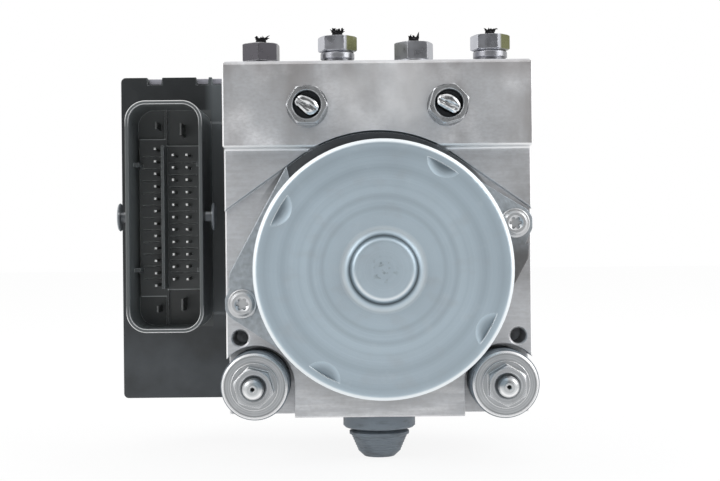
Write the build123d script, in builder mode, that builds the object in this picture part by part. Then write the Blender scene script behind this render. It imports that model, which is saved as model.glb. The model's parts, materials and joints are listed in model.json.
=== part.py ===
from build123d import *
from math import cos, pi, radians, sin, sqrt, tan
import os

os.makedirs("parts", exist_ok=True)

# Frame: millimetres, +Z up. The origin is the middle of the block's bottom face, on the axis of the
# rubber foot. X runs to the right along the front, Y runs from the motor side to the electronics.

# ---------------------------------------------------------------- hydraulic block
block_width = 95.0
block_depth = 40.0
block_height = 110.0
band_height = 26.4          # raised front band along the top, which carries the pipe ports
band_step = 5.0             # from the band back to the middle face
mount_step = 1.5            # from the middle face back to the motor face
edge_chamfer = 0.4
top_chamfer = 1.0
step_chamfer = 0.55         # along the band's lower edge
step_fillet = 0.9           # where the band's underside meets the middle face
relief_slope = 35.3         # the milled arc runs out to the sides along tangents at this angle

front_y = -block_depth / 2
back_y = block_depth / 2
mid_face_y = front_y + band_step
motor_face_y = mid_face_y + mount_step
side_x = block_width / 2

# ---------------------------------------------------------------- fits between pieces
running_gap = 0.05          # radial clearance of a shaft or piston in its bore
air_gap = 0.3               # between pieces that never touch
thread_end_gap = 1.0        # from a screw's end to the bottom of its hole

# ---------------------------------------------------------------- pump motor
motor_z = 47.0
ear_inset = 5.4             # from the block's side to an ear screw
ear_angle = 16.0            # the ears lie on one slanted line
ear_rise = 0.7              # that line passes the motor's axis this far above it
ear_radius = 5.6
ear_screw_radius = 2.5
ear_head_radius = 4.6
ear_head_height = 2.7
can_ear_gap = 9.2           # from the can to the axis of an ear screw
can_wall = 1.8
can_length = 62.5           # from the block's motor face to the can's flat end
can_rim_radius = 1.5
boss_radius = 8.8
boss_height = 4.0
boss_top_fillet = 1.6
boss_root_fillet = 2.2
flange_margin = 3.8         # flange outside the can
flange_thickness = 2.5
relief_gap = 6.9            # from the can to the milled arc in the block
dimple_radius = 5.07
dimple_depth = 1.1
dimple_inset = 2.6          # from the can's outside to the straight edge of a dimple
dimple_start_angle = 60.0
motor_pocket_depth = 20.0   # bore in the block for the bearing and the eccentric
motor_pocket_wall = 3.5     # from the drive bearing to that bore

ear_x = side_x - ear_inset
ear_reach = ear_x / cos(radians(ear_angle))
can_radius = ear_reach - can_ear_gap
can_end_y = motor_face_y - can_length
flange_radius = can_radius + flange_margin
relief_radius = can_radius + relief_gap

magnet_thickness = 5.4
magnet_air_gap = 1.1
armature_slots = 10
slot_width = 2.2
slot_depth = 9.5
core_end_gap = 13.0         # from the inside of the can's flat end to the laminated core
core_commutator_gap = 3.7   # from the commutator to the core
brush_plate_gap = 0.5       # from the shield to the brush plate
commutator_lift = 6.0       # from the brush plate to the commutator

shaft_radius = 3.5
end_journal_radius = 2.5
bearing_ball_radius = 1.3
end_bearing = (2.5, 7.0, 5.0)       # bore radius, outer radius, width
drive_bearing = (3.5, 9.5, 6.0)
eccentric_offset = 1.0
eccentric_radius = 5.5
eccentric_length = 8.0
ring_radius = 9.0           # outer radius of the needle ring on the eccentric
roller_radius = 0.9
commutator_radius = 9.5
commutator_length = 9.0

# ---------------------------------------------------------------- pipe nuts and pipe ends
hex_across_flats = 11.0
hex_corner_radius = hex_across_flats / sqrt(3)
master_port_x = 21.4
master_port_drop = 14.1     # from the block's top to the ports of the master cylinder
wheel_port_inset = 10.825   # from the block's side to the outer wheel port
port_radius = 5.0
port_depth = 15.0
pipe_radius = 2.4
pipe_bore_radius = 1.5
master_port_z = block_height - master_port_drop
wheel_port_pitch = (block_width - 2 * wheel_port_inset) / 3

# ---------------------------------------------------------------- lower mounting and foot
stud_inset = 9.1            # from the block's side to a stud
stud_z = 10.5
stud_pocket_radius = 12.0
stud_pocket_depth = 10.5    # from the motor face to the floor of a corner pocket
stud_radius = 3.25
stud_length_in_block = 14.0
washer_radius = 10.15
washer_thickness = 1.5
bush_radius = 10.5
bush_neck_radius = 7.2
bush_slot_width = 3.0
tapped_hole_inset = 4.4
tapped_hole_z = 24.9
tapped_hole_radius = 2.4
tapped_hole_depth = 14.0
tapped_hole_sink = 0.5      # width of the countersink round a tapped hole
stud_x = side_x - stud_inset
stud_pocket_y = motor_face_y + stud_pocket_depth
tapped_hole_x = side_x - tapped_hole_inset

# ---------------------------------------------------------------- electronics
ecu_left_x = -85.5
ecu_bottom_z = 2.5
ecu_height = 108.0
ecu_gap = 2.0               # from the block's back to the housing
ecu_depth = 24.0
ecu_wall = 2.4
cover_thickness = 3.0
shroud_x = -67.2
shroud_rise = 6.5           # middle of the socket above the middle of the housing
shroud_width = 24.4
shroud_height = 73.2
shroud_corner = 6.5
shroud_wall = 1.2
shroud_length = 30.0        # from the housing's front to the rim
shroud_depth = 20.0         # from the rim to the socket's floor
rim_fillet = 0.35
pin_pitch = 4.0
pin_size = 0.7
pin_length = 11.0
ecu_front_y = back_y + ecu_gap
ecu_back_y = ecu_front_y + ecu_depth
ecu_top_z = ecu_bottom_z + ecu_height
upper_end_z = min(block_height, ecu_top_z)
shroud_z = ecu_bottom_z + ecu_height / 2 + shroud_rise
shroud_rim_y = ecu_front_y - shroud_length
shroud_floor_y = shroud_rim_y + shroud_depth
pin_tip_y = shroud_floor_y - pin_length
board_thickness = 1.6
board_inset = 8.5           # from the housing's back end to the board's front
board_y = ecu_back_y - board_inset


# ================================================================ helpers
def facing_front(y, x=0.0, z=0.0):
    """Plane across the Y axis whose normal looks to the front: local x is X, local y is Z."""
    return Plane(origin=(x, y, z), x_dir=(1, 0, 0), z_dir=(0, -1, 0))


def motor_plane(y):
    return facing_front(y, 0, motor_z)


def facing_side(x, y, z, sign=1):
    """Plane across the X axis, normal towards +X or -X."""
    return Plane(origin=(x, y, z), x_dir=(0, sign, 0), z_dir=(sign, 0, 0))


def ring(plane, outer, height, inner=0.0):
    """Disc or tube that rises from a plane."""
    with BuildPart() as blank:
        with BuildSketch(plane):
            Circle(outer)
            if inner > 0:
                Circle(inner, mode=Mode.SUBTRACT)
        extrude(amount=height)
    return blank.part


def turned(points, plane):
    """Solid of revolution about a plane's normal; points are (radius, height) pairs."""
    profile_plane = Plane(origin=plane.origin, x_dir=plane.x_dir, z_dir=-plane.y_dir)
    with BuildPart() as blank:
        with BuildSketch(profile_plane):
            with BuildLine():
                Polyline(*points, close=True)
            make_face()
        revolve(axis=Axis(plane.origin, plane.z_dir))
    return blank.part


def save(part, label):
    part.label = label
    export_step(part, f"parts/{label}.step")


# ================================================================ valve layout
valve_column_inset = 17.5   # from the block's side to the outer valves
valve_row_drop = 22.0       # from the upper end to the inlet valves
valve_row_pitch = 17.0
valve_pitch = (block_width - 2 * valve_column_inset) / 3
valve_columns = [(i - 1.5) * valve_pitch for i in range(4)]
inlet_row_z = upper_end_z - valve_row_drop
outlet_row_z = inlet_row_z - valve_row_pitch
valve_radius = 4.0
valve_socket_depth = 12.0
valve_dome_height = 16.0
valve_flange_radius = 5.2
plunger_radius = 2.2
plunger_length = 9.0
plunger_travel = 0.3

pump_bore_radius = 6.0
piston_radius = 4.0
pump_setback = 13.5         # from the motor face to the pump's axis
pump_y = motor_face_y + pump_setback
pump_plug_length = 9.0
accumulator_inset = 18.4    # from a mounting stud to the accumulator beside it
accumulator_x = stud_x - accumulator_inset
accumulator_y = 6.0
accumulator_radius = 9.0
accumulator_depth = 22.0
accumulator_cap_thickness = 3.0
foot_stud_radius = 3.0
foot_stud_depth = 12.0

ecu_screw_inset = 6.5       # from the block's side
ecu_screw_rise = 29.5       # lower screws above the housing's bottom
ecu_screw_drop = 7.0        # upper screws below the upper end
ecu_screw_radius = 2.0
ecu_screw_depth = 12.0
contact_spread = 1.3        # each motor contact beside the middle
contact_rise = 16.5         # above the motor axis
contact_radius = 0.8
contact_passage_radius = 1.6

ecu_screw_points = []
for x in (ecu_screw_inset - side_x, side_x - ecu_screw_inset):
    for z in (ecu_bottom_z + ecu_screw_rise, upper_end_z - ecu_screw_drop):
        ecu_screw_points.append((x, z))
contact_points = [(x, motor_z + contact_rise) for x in (-contact_spread, contact_spread)]
ear_middle_z = motor_z + ear_rise
ear_points = [(side * ear_x, ear_middle_z + side * ear_x * tan(radians(ear_angle))) for side in (1, -1)]
stud_points = [(-stud_x, stud_z), (stud_x, stud_z)]
tapped_points = [(-tapped_hole_x, tapped_hole_z), (tapped_hole_x, tapped_hole_z)]
master_points = [(-master_port_x, master_port_z), (master_port_x, master_port_z)]
wheel_port_xs = [(i - 1.5) * wheel_port_pitch for i in range(4)]
inlet_points = [(x, inlet_row_z) for x in valve_columns]
outlet_points = [(x, outlet_row_z) for x in valve_columns]
accumulator_xs = [-accumulator_x, accumulator_x]

# ================================================================ hydraulic block
tangent_x = relief_radius * sin(radians(relief_slope))
tangent_z = motor_z + relief_radius * cos(radians(relief_slope))
beyond = side_x + 5
slope_end_z = tangent_z - (beyond - tangent_x) * tan(radians(relief_slope))
step_z = block_height - band_height


def is_milled_edge(edge):
    """Outer straight edge of the middle face or the motor face."""
    middle = edge.center()
    on_face = min(abs(middle.Y - mid_face_y), abs(middle.Y - motor_face_y)) < 0.01
    at_side = abs(abs(middle.X) - side_x) < 0.01
    slanted = abs(middle.Y - mid_face_y) < 0.01 and middle.Z < step_z - step_fillet - 0.01
    return on_face and (at_side or slanted or middle.Z < 0.01) and edge.length > 2.0


with BuildPart() as hydraulic_block:
    with BuildSketch(Plane.XY):
        Rectangle(block_width, block_depth)
    extrude(amount=block_height)
    top_edges = hydraulic_block.faces().sort_by(Axis.Z)[-1].edges()
    chamfer(top_edges, length=top_chamfer)
    chamfer(hydraulic_block.edges().filter_by(Axis.Z), length=edge_chamfer)
    # the middle face, below the raised band
    with BuildSketch(Plane.YZ.offset(-beyond)):
        with BuildLine():
            Polyline(
                (mid_face_y, step_z - step_fillet),
                (mid_face_y, -1),
                (front_y - 1, -1),
                (front_y - 1, step_z + step_chamfer + 1),
                (front_y + step_chamfer, step_z),
                (mid_face_y - step_fillet, step_z),
            )
            RadiusArc((mid_face_y - step_fillet, step_z), (mid_face_y, step_z - step_fillet), step_fillet)
        make_face()
    extrude(amount=2 * beyond, mode=Mode.SUBTRACT)
    # the motor face, with its arc and two slanted edges
    with BuildSketch(facing_front(motor_face_y)):
        with Locations((0, motor_z)):
            Circle(relief_radius)
        with BuildLine():
            Polyline(
                (-beyond, -1),
                (beyond, -1),
                (beyond, slope_end_z),
                (tangent_x, tangent_z),
                (-tangent_x, tangent_z),
                (-beyond, slope_end_z),
                close=True,
            )
        make_face()
    extrude(amount=block_depth, mode=Mode.SUBTRACT)
    # deburred edges of both milled faces: along the sides, the slants and the bottom
    milled_edges = hydraulic_block.edges().filter_by(GeomType.LINE).filter_by(is_milled_edge)
    chamfer(milled_edges, length=edge_chamfer)
    # corner pockets of the lower mounting, open to the side and the bottom
    with BuildSketch(facing_front(stud_pocket_y)):
        for px, pz in stud_points:
            side = 1 if px > 0 else -1
            with Locations((px, pz)):
                Circle(stud_pocket_radius)
            with Locations((px, 0)):
                Rectangle(2 * stud_pocket_radius, 2 * stud_z)
            with Locations((px + side * stud_pocket_radius, pz)):
                Rectangle(stud_pocket_radius, stud_pocket_radius)
    extrude(amount=block_depth, mode=Mode.SUBTRACT)
    # motor pocket for the drive bearing and the eccentric, and the pump bores through to both sides
    with BuildSketch(motor_plane(motor_face_y)):
        Circle(drive_bearing[1] + motor_pocket_wall)
    extrude(amount=-motor_pocket_depth, mode=Mode.SUBTRACT)
    with BuildSketch(facing_side(-side_x, pump_y, motor_z)):
        Circle(pump_bore_radius)
    extrude(amount=block_width, mode=Mode.SUBTRACT)
    # ports, tapped holes and screw holes on the front
    with BuildSketch(facing_front(front_y)):
        with Locations(*master_points):
            Circle(port_radius)
    extrude(amount=-port_depth, mode=Mode.SUBTRACT)
    for px, pz in tapped_points:
        mouth = tapped_hole_radius + tapped_hole_sink
        hole = [
            (0, 0),
            (mouth, 0),
            (tapped_hole_radius, -tapped_hole_sink),
            (tapped_hole_radius, -tapped_hole_depth),
            (0, -tapped_hole_depth - tapped_hole_radius / 2),
        ]
        add(turned(hole, facing_front(motor_face_y, px, pz)), mode=Mode.SUBTRACT)
    with BuildSketch(facing_front(motor_face_y)):
        with Locations(*ear_points):
            Circle(ear_screw_radius)
    extrude(amount=-tapped_hole_depth, mode=Mode.SUBTRACT)
    with BuildSketch(facing_front(stud_pocket_y)):
        with Locations(*stud_points):
            Circle(stud_radius)
    extrude(amount=-stud_length_in_block, mode=Mode.SUBTRACT)
    # wheel ports on the top
    with BuildSketch(Plane.XY.offset(block_height)):
        with Locations(*[(x, 0) for x in wheel_port_xs]):
            Circle(port_radius)
    extrude(amount=-port_depth, mode=Mode.SUBTRACT)
    # accumulator bores and the foot stud's hole, from below
    with BuildSketch(Plane.XY):
        with Locations(*[(x, accumulator_y) for x in accumulator_xs]):
            Circle(accumulator_radius)
    extrude(amount=accumulator_depth, mode=Mode.SUBTRACT)
    with BuildSketch(Plane.XY):
        Circle(foot_stud_radius)
    extrude(amount=foot_stud_depth, mode=Mode.SUBTRACT)
    # valve sockets in the back
    with BuildSketch(facing_front(back_y)):
        with Locations(*inlet_points, *outlet_points):
            Circle(valve_radius)
    extrude(amount=valve_socket_depth, mode=Mode.SUBTRACT)
    # screw holes of the electronics and the two passages of the motor contacts
    with BuildSketch(facing_front(back_y)):
        with Locations(*ecu_screw_points):
            Circle(ecu_screw_radius)
    extrude(amount=ecu_screw_depth, mode=Mode.SUBTRACT)
    with BuildSketch(facing_front(back_y)):
        with Locations(*contact_points):
            Circle(contact_passage_radius)
    extrude(amount=block_depth, mode=Mode.SUBTRACT)
save(hydraulic_block.part, "hydraulic_block")


# ================================================================ pipe nuts and cut pipes
def pipe_nut(plane, collar, collar_height, hex_height, turn, mouth):
    """Flare nut: shank in the port, round collar, hexagon, open mouth; plane is the block's face."""
    top = collar_height + hex_height
    bevel = nut_bevel
    with BuildPart() as nut:
        with BuildSketch(plane.offset(collar_height)):
            RegularPolygon(radius=hex_corner_radius, side_count=6, rotation=turn)
        extrude(amount=hex_height)
        rounding = turned(
            [
                (0, collar_height),
                (hex_corner_radius - bevel, collar_height),
                (hex_corner_radius, collar_height + bevel / 2),
                (hex_corner_radius, top - bevel / 2),
                (hex_corner_radius - bevel, top),
                (0, top),
            ],
            plane,
        )
        add(rounding, mode=Mode.INTERSECT)
        add(turned(collar + [(0, collar_height), (0, 0)], plane))
        add(ring(plane, port_radius, -nut_shank_length))
        add(ring(plane.offset(top), pipe_radius + running_gap, -top - nut_shank_length), mode=Mode.SUBTRACT)
        mouth_floor = top - mouth_depth
        opening = [(0, top), (mouth + 0.4, top), (mouth, top - 0.4), (mouth, mouth_floor), (0, mouth_floor)]
        add(turned(opening, plane), mode=Mode.SUBTRACT)
    return nut.part


def pipe_stub(plane, neck_height, tip_height, tip, turn):
    """Cut pipe end: flare at the bottom of the port, round pipe, flat tip."""
    tip_width, tip_thickness = tip
    flare = -nut_shank_length
    with BuildPart() as stub:
        add(
            turned(
                [
                    (pipe_bore_radius, flare - flare_height),
                    (pipe_radius, flare - flare_height),
                    (flare_radius, flare - flare_height / 2),
                    (flare_radius, flare),
                    (pipe_radius, flare),
                    (pipe_radius, neck_height),
                    (pipe_bore_radius, neck_height),
                ],
                plane,
            )
        )
        with BuildSketch(plane.offset(neck_height)):
            Circle(pipe_radius)
        with BuildSketch(plane.offset(tip_height)):
            SlotOverall(tip_width, tip_thickness, rotation=turn)
        loft()
    return stub.part


def pinched_stub(plane, neck_height, tip_height, tip, turn):
    """Pipe end that is pinched shut across the whole mouth: bevelled lips with a seam between them."""
    tip_width, tip_thickness = tip
    with BuildPart() as stub:
        add(pipe_stub(plane, neck_height, tip_height - tip_bevel, tip, turn))
        with BuildSketch(plane.offset(tip_height - tip_bevel)):
            SlotOverall(tip_width, tip_thickness, rotation=turn)
        with BuildSketch(plane.offset(tip_height)):
            SlotOverall(tip_width - 2 * tip_bevel, tip_thickness - 2 * tip_bevel, rotation=turn)
        loft()
        with BuildSketch(plane.offset(tip_height)):
            Rectangle(tip_width, seam_width, rotation=turn)
        extrude(amount=-seam_depth, mode=Mode.SUBTRACT)
    return stub.part


nut_shank_length = 11.0
nut_bevel = 0.5
seam_width = 0.25
seam_depth = 0.6
flare_height = 2.6
flare_radius = 4.2
mouth_depth = 3.4
master_mouth_radius = 4.1
wheel_mouth_radius = 3.0
master_tip = (7.7, 3.0)      # width and thickness of the pinched end
wheel_tip = (3.7, 1.6)
tip_bevel = 0.4
nut_collar_radius = 6.4
wheel_collar_radius = 5.45

master_hex_turns = [0.0, 15.0]
master_pinch_turns = [-22.0, -30.0]
master_collar_height = 1.2
master_hex_height = 5.2
master_collar = [(nut_collar_radius, 0), (nut_collar_radius, master_collar_height)]
with BuildPart() as master_pipe_nuts:
    for (px, pz), turn in zip(master_points, master_hex_turns):
        add(pipe_nut(facing_front(front_y, px, pz), master_collar, master_collar_height,
                     master_hex_height, turn, master_mouth_radius))
save(master_pipe_nuts.part, "master_pipe_nuts")

master_top = master_collar_height + master_hex_height
with BuildPart() as master_pipe_stubs:
    for (px, pz), turn in zip(master_points, master_pinch_turns):
        port = facing_front(front_y, px, pz)
        add(pinched_stub(port, master_top - mouth_depth, master_top + 0.2, master_tip, turn))
save(master_pipe_stubs.part, "master_pipe_stubs")

wheel_hex_turns = [25.0, 49.5, 9.7, 47.0]
short_collar_height = 2.3
short_hex_height = 5.6
long_collar_height = 5.4
long_hex_height = 4.6
wheel_tip_heights = [2.8, 3.4, 2.4, 2.7]
short_top = short_collar_height + short_hex_height
long_top = long_collar_height + long_hex_height
short_collar = [(wheel_collar_radius, 0), (wheel_collar_radius, short_collar_height)]
long_collar = [
    (wheel_collar_radius, 0),
    (wheel_collar_radius, 1.9),
    (port_radius, 2.2),
    (port_radius, 2.7),
    (wheel_collar_radius, 3.0),
    (wheel_collar_radius, 4.5),
    (port_radius, long_collar_height),
]


def wheel_plane(index):
    return Plane(origin=(wheel_port_xs[index], 0, block_height))


with BuildPart() as wheel_nuts_short:
    for i in (0, 2):
        add(pipe_nut(wheel_plane(i), short_collar, short_collar_height, short_hex_height,
                     wheel_hex_turns[i], wheel_mouth_radius))
save(wheel_nuts_short.part, "wheel_nuts_short")

with BuildPart() as wheel_nuts_long:
    for i in (1, 3):
        add(pipe_nut(wheel_plane(i), long_collar, long_collar_height, long_hex_height,
                     wheel_hex_turns[i], wheel_mouth_radius))
save(wheel_nuts_long.part, "wheel_nuts_long")

with BuildPart() as wheel_pipe_stubs:
    for i, tip in enumerate(wheel_tip_heights):
        nut_top = short_top if i in (0, 2) else long_top
        add(pipe_stub(wheel_plane(i), nut_top - mouth_depth, nut_top + tip, wheel_tip, 10 * i))
save(wheel_pipe_stubs.part, "wheel_pipe_stubs")

# ================================================================ lower mounting
washer_front = 17.0         # from the pocket floor to the washer's front face
washer_back = washer_front - washer_thickness
stud_nut_collar_radius = 7.3
stud_nut_collar_height = 0.9
stud_nut_hex_height = 4.6
stud_end = washer_front + 9.0
stud_hex_turns = [46.0, 30.0]
bush_slot_back = 5.5        # from the pocket floor to the bracket slot


def stud_plane(index):
    px, pz = stud_points[index]
    return facing_front(stud_pocket_y, px, pz)


with BuildPart() as mounting_studs:
    for i in (0, 1):
        add(
            turned(
                [
                    (0, -stud_length_in_block),
                    (stud_radius, -stud_length_in_block),
                    (stud_radius, stud_end - 1.7),
                    (stud_radius - 0.4, stud_end - 0.9),
                    (stud_radius - 1.1, stud_end - 0.3),
                    (stud_radius - 1.9, stud_end),
                    (0.8, stud_end),
                    (0, stud_end - 0.9),
                ],
                stud_plane(i),
            )
        )
save(mounting_studs.part, "mounting_studs")


def collar_nut(plane, turn):
    """Hexagon nut with a thin round collar, standing on a plane."""
    hex_top = stud_nut_collar_height + stud_nut_hex_height
    with BuildPart() as nut:
        with BuildSketch(plane.offset(stud_nut_collar_height)):
            RegularPolygon(radius=hex_corner_radius, side_count=6, rotation=turn)
        extrude(amount=stud_nut_hex_height)
        add(
            turned(
                [
                    (0, stud_nut_collar_height),
                    (hex_corner_radius, stud_nut_collar_height),
                    (hex_corner_radius, hex_top - 0.5),
                    (hex_corner_radius - 0.9, hex_top),
                    (0, hex_top),
                ],
                plane,
            ),
            mode=Mode.INTERSECT,
        )
        add(ring(plane, stud_nut_collar_radius, stud_nut_collar_height))
        add(ring(plane, stud_radius, hex_top), mode=Mode.SUBTRACT)
        sink = [(0, hex_top), (stud_radius + 0.9, hex_top), (stud_radius, hex_top - 0.9), (0, hex_top - 0.9)]
        add(turned(sink, plane), mode=Mode.SUBTRACT)
    return nut.part


with BuildPart() as mounting_nuts:
    for i in (0, 1):
        add(collar_nut(stud_plane(i).offset(washer_front), stud_hex_turns[i]))
save(mounting_nuts.part, "mounting_nuts")

with BuildPart() as mounting_washers:
    for i in (0, 1):
        add(
            turned(
                [
                    (stud_radius, washer_back),
                    (washer_radius, washer_back),
                    (washer_radius, washer_front - 0.6),
                    (washer_radius - 0.6, washer_front),
                    (stud_radius, washer_front),
                ],
                stud_plane(i),
            )
        )
save(mounting_washers.part, "mounting_washers")

with BuildPart() as mounting_bushes:
    for i in (0, 1):
        add(
            turned(
                [
                    (stud_radius, 0),
                    (bush_radius - 0.6, 0),
                    (bush_radius, 0.6),
                    (bush_radius, bush_slot_back),
                    (bush_neck_radius, bush_slot_back),
                    (bush_neck_radius, bush_slot_back + bush_slot_width),
                    (bush_radius, bush_slot_back + bush_slot_width),
                    (bush_radius, washer_back),
                    (stud_radius, washer_back),
                ],
                stud_plane(i),
            )
        )
save(mounting_bushes.part, "mounting_bushes")

# ================================================================ rubber foot
foot_flange_radius = 11.5
foot_flange_height = 4.6
foot_neck_radius = 7.75
foot_lip_radius = 9.55
foot_lip_z = -6.0
foot_cone_top_z = -7.3
foot_cone_top_radius = 8.75
foot_cone_end_radius = 6.5
foot_end_z = -13.9
foot_ridges = 6
foot_cavity_depth = 8.0

foot_profile = [
    (foot_stud_radius, 0),
    (foot_flange_radius, 0),
    (foot_flange_radius, -foot_flange_height + 0.6),
    (foot_flange_radius - 0.6, -foot_flange_height),
    (foot_neck_radius, -foot_flange_height),
    (foot_neck_radius, -foot_flange_height - 0.5),
    (foot_lip_radius, foot_lip_z),
    (foot_lip_radius, foot_cone_top_z + 0.5),
    (foot_cone_top_radius, foot_cone_top_z),
]
cone_height = foot_cone_top_z - foot_end_z - 1.5
for i in range(foot_ridges):
    share = (i + 1) / foot_ridges
    radius = foot_cone_top_radius + share * (foot_cone_end_radius - foot_cone_top_radius)
    ridge_z = foot_cone_top_z - share * cone_height
    foot_profile.append((radius + 0.3, ridge_z + 0.3))
    foot_profile.append((radius, ridge_z))
foot_profile += [
    (foot_cone_end_radius - 1.6, foot_end_z),
    (0, foot_end_z),
    (0, -foot_cavity_depth),
    (foot_stud_radius, -foot_cavity_depth),
]
with BuildPart() as foot_rubber:
    add(turned(foot_profile, Plane.XY))
save(foot_rubber.part, "foot_rubber")

with BuildPart() as foot_stud:
    add(ring(Plane.XY.offset(-foot_cavity_depth), foot_stud_radius, foot_cavity_depth + foot_stud_depth))
save(foot_stud.part, "foot_stud")

# ================================================================ pump motor
can_inner_radius = can_radius - can_wall
boss_top = can_length + boss_height
shield_cup_wall = 1.6
bearing_seat = 0.2          # shoulder clearance in front of the drive bearing
star_radius = 2.0
star_core_radius = 1.35
star_lobe_radius = 0.5
star_depth = 1.8


def bearing_race(plane, bearing, outer_race):
    """Inner or outer race of a ball bearing with its ball groove; the bearing rises from the plane."""
    bore, outside, width = bearing
    middle = (bore + outside) / 2
    race_wall = (outside - bore) / 2 - 0.55 * bearing_ball_radius
    race_middle = outside - race_wall / 2 if outer_race else bore + race_wall / 2
    profile_plane = Plane(origin=plane.origin, x_dir=plane.x_dir, z_dir=-plane.y_dir)
    with BuildPart() as race:
        with BuildSketch(profile_plane):
            with Locations((race_middle, width / 2)):
                Rectangle(race_wall, width)
            with Locations((middle, width / 2)):
                Circle(bearing_ball_radius + running_gap, mode=Mode.SUBTRACT)
        revolve(axis=Axis(plane.origin, plane.z_dir))
    return race.part


def bearing_balls(plane, bearing, count):
    """Balls midway between the races."""
    bore, outside, width = bearing
    with BuildPart() as balls:
        with Locations(plane.offset(width / 2)):
            with PolarLocations((bore + outside) / 2, count):
                Sphere(bearing_ball_radius)
    return balls.part


dimple_ball_radius = (dimple_radius**2 + dimple_depth**2) / (2 * dimple_depth)
dimple_edge_reach = can_radius - dimple_inset
dimple_reach = dimple_edge_reach + 0.3 * dimple_radius
dimple_floor_y = can_end_y + dimple_depth


def dimple_balls():
    """Balls whose caps are the dimples."""
    with BuildPart() as balls:
        with Locations(motor_plane(dimple_floor_y - dimple_ball_radius)):
            with PolarLocations(dimple_reach, 4, start_angle=dimple_start_angle):
                Sphere(dimple_ball_radius)
    return balls.part


with BuildPart() as rim_dimples:
    with BuildSketch(motor_plane(dimple_floor_y)):
        with PolarLocations(dimple_reach, 4, start_angle=dimple_start_angle):
            Circle(dimple_radius)
        Circle(dimple_edge_reach, mode=Mode.INTERSECT)
    extrude(amount=dimple_depth)
    add(dimple_balls(), mode=Mode.INTERSECT)

with BuildPart() as motor_can:
    with BuildSketch(motor_plane(motor_face_y)):
        Circle(can_radius)
    extrude(amount=can_length)
    end_face = motor_can.faces().sort_by(Axis.Y)[0]
    fillet(end_face.edges(), can_rim_radius)
    with BuildSketch(motor_plane(can_end_y)):
        Circle(boss_radius)
    extrude(amount=boss_height)
    boss_face = motor_can.faces().sort_by(Axis.Y)[0]
    fillet(boss_face.edges(), boss_top_fillet)
    boss_root = motor_can.edges().filter_by(GeomType.CIRCLE).filter_by(
        lambda e: abs(e.radius - boss_radius) < 0.01 and abs(e.center().Y - can_end_y) < 0.01
    )
    fillet(boss_root, boss_root_fillet)
    # flange with two ears, trimmed flush with the block's sides
    with BuildSketch(motor_plane(motor_face_y)):
        Circle(flange_radius)
        with Locations(*[(x, z - motor_z) for x, z in ear_points]):
            Circle(ear_radius)
        make_hull()
        Rectangle(block_width, 2 * relief_radius, mode=Mode.INTERSECT)
    extrude(amount=flange_thickness)
    with BuildSketch(motor_plane(motor_face_y)):
        Circle(can_inner_radius)
        with Locations(*[(x, z - motor_z) for x, z in ear_points]):
            Circle(ear_screw_radius + 0.25)
    extrude(amount=can_length - can_wall, mode=Mode.SUBTRACT)
    with BuildSketch(motor_plane(motor_face_y)):
        Circle(end_bearing[1])
    extrude(amount=boss_top - can_wall, mode=Mode.SUBTRACT)
    # four half-round dimples pressed near the rim, deepest in the middle of their straight edges
    add(rim_dimples.part, mode=Mode.SUBTRACT)
save(motor_can.part, "motor_can")

drive_bearing_base = -drive_bearing[2] - bearing_seat
cup_bottom = drive_bearing_base - shield_cup_wall
end_bearing_base = boss_top - can_wall - end_bearing[2] - bearing_seat
shield_low = 0.5            # the flat seal lies under the shield
shield_high = flange_thickness
face = motor_plane(motor_face_y)

with BuildPart() as motor_screws:
    for px, pz in ear_points:
        head = facing_front(motor_face_y, px, pz).offset(flange_thickness)
        add(
            turned(
                [
                    (0, -tapped_hole_depth + thread_end_gap),
                    (ear_screw_radius, -tapped_hole_depth + thread_end_gap),
                    (ear_screw_radius, 0),
                    (ear_head_radius, 0),
                    (ear_head_radius, 0.7),
                    (ear_head_radius - 0.3, 1.0),
                    (ear_head_radius - 0.8, 1.1),
                    (ear_head_radius - 0.9, ear_head_height - 0.6),
                    (ear_head_radius - 1.5, ear_head_height),
                    (star_radius + 0.3, ear_head_height),
                    (star_core_radius, ear_head_height - 0.5),
                    (0, ear_head_height - 0.5),
                ],
                head,
            )
        )
        with BuildSketch(head.offset(ear_head_height)):
            Circle(star_core_radius)
            with PolarLocations(star_radius - star_lobe_radius, 6):
                Circle(star_lobe_radius)
        extrude(amount=-star_depth, mode=Mode.SUBTRACT)
save(motor_screws.part, "motor_screws")

with BuildPart() as motor_seal:
    add(ring(face, can_inner_radius - 1.5, shield_low, can_inner_radius - 5.5))
save(motor_seal.part, "motor_seal")

with BuildPart() as end_shield:
    cup_radius = drive_bearing[1] + shield_cup_wall
    add(
        turned(
            [
                (drive_bearing[1] - 2, cup_bottom),
                (cup_radius, cup_bottom),
                (cup_radius, shield_low),
                (can_inner_radius, shield_low),
                (can_inner_radius, shield_high),
                (drive_bearing[1], shield_high),
                (drive_bearing[1], drive_bearing_base),
                (drive_bearing[1] - 2, drive_bearing_base),
            ],
            face,
        )
    )
    with BuildSketch(face.offset(shield_high)):
        with Locations(*[(x, z - motor_z) for x, z in contact_points]):
            Circle(contact_passage_radius)
    extrude(amount=-shield_high, mode=Mode.SUBTRACT)
save(end_shield.part, "end_shield")

armature_radius = can_inner_radius - magnet_thickness - magnet_air_gap
brush_plate_low = shield_high + brush_plate_gap
commutator_low = brush_plate_low + commutator_lift
core_low = commutator_low + commutator_length + core_commutator_gap
core_high = can_length - can_wall - core_end_gap
armature_length = core_high - core_low
with BuildPart() as motor_magnets:
    with BuildSketch(face.offset(core_low - 4)):
        Circle(can_inner_radius)
        Circle(can_inner_radius - magnet_thickness, mode=Mode.SUBTRACT)
        with PolarLocations(can_inner_radius, 4):
            Rectangle(3 * magnet_thickness, 9.0, mode=Mode.SUBTRACT)
    extrude(amount=armature_length + 8)
save(motor_magnets.part, "motor_magnets")

brush_width = 5.0
brush_length = 9.0
brush_start = commutator_radius + running_gap
brush_middle = commutator_low + commutator_length / 2
brush_box_wall = 1.2

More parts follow.
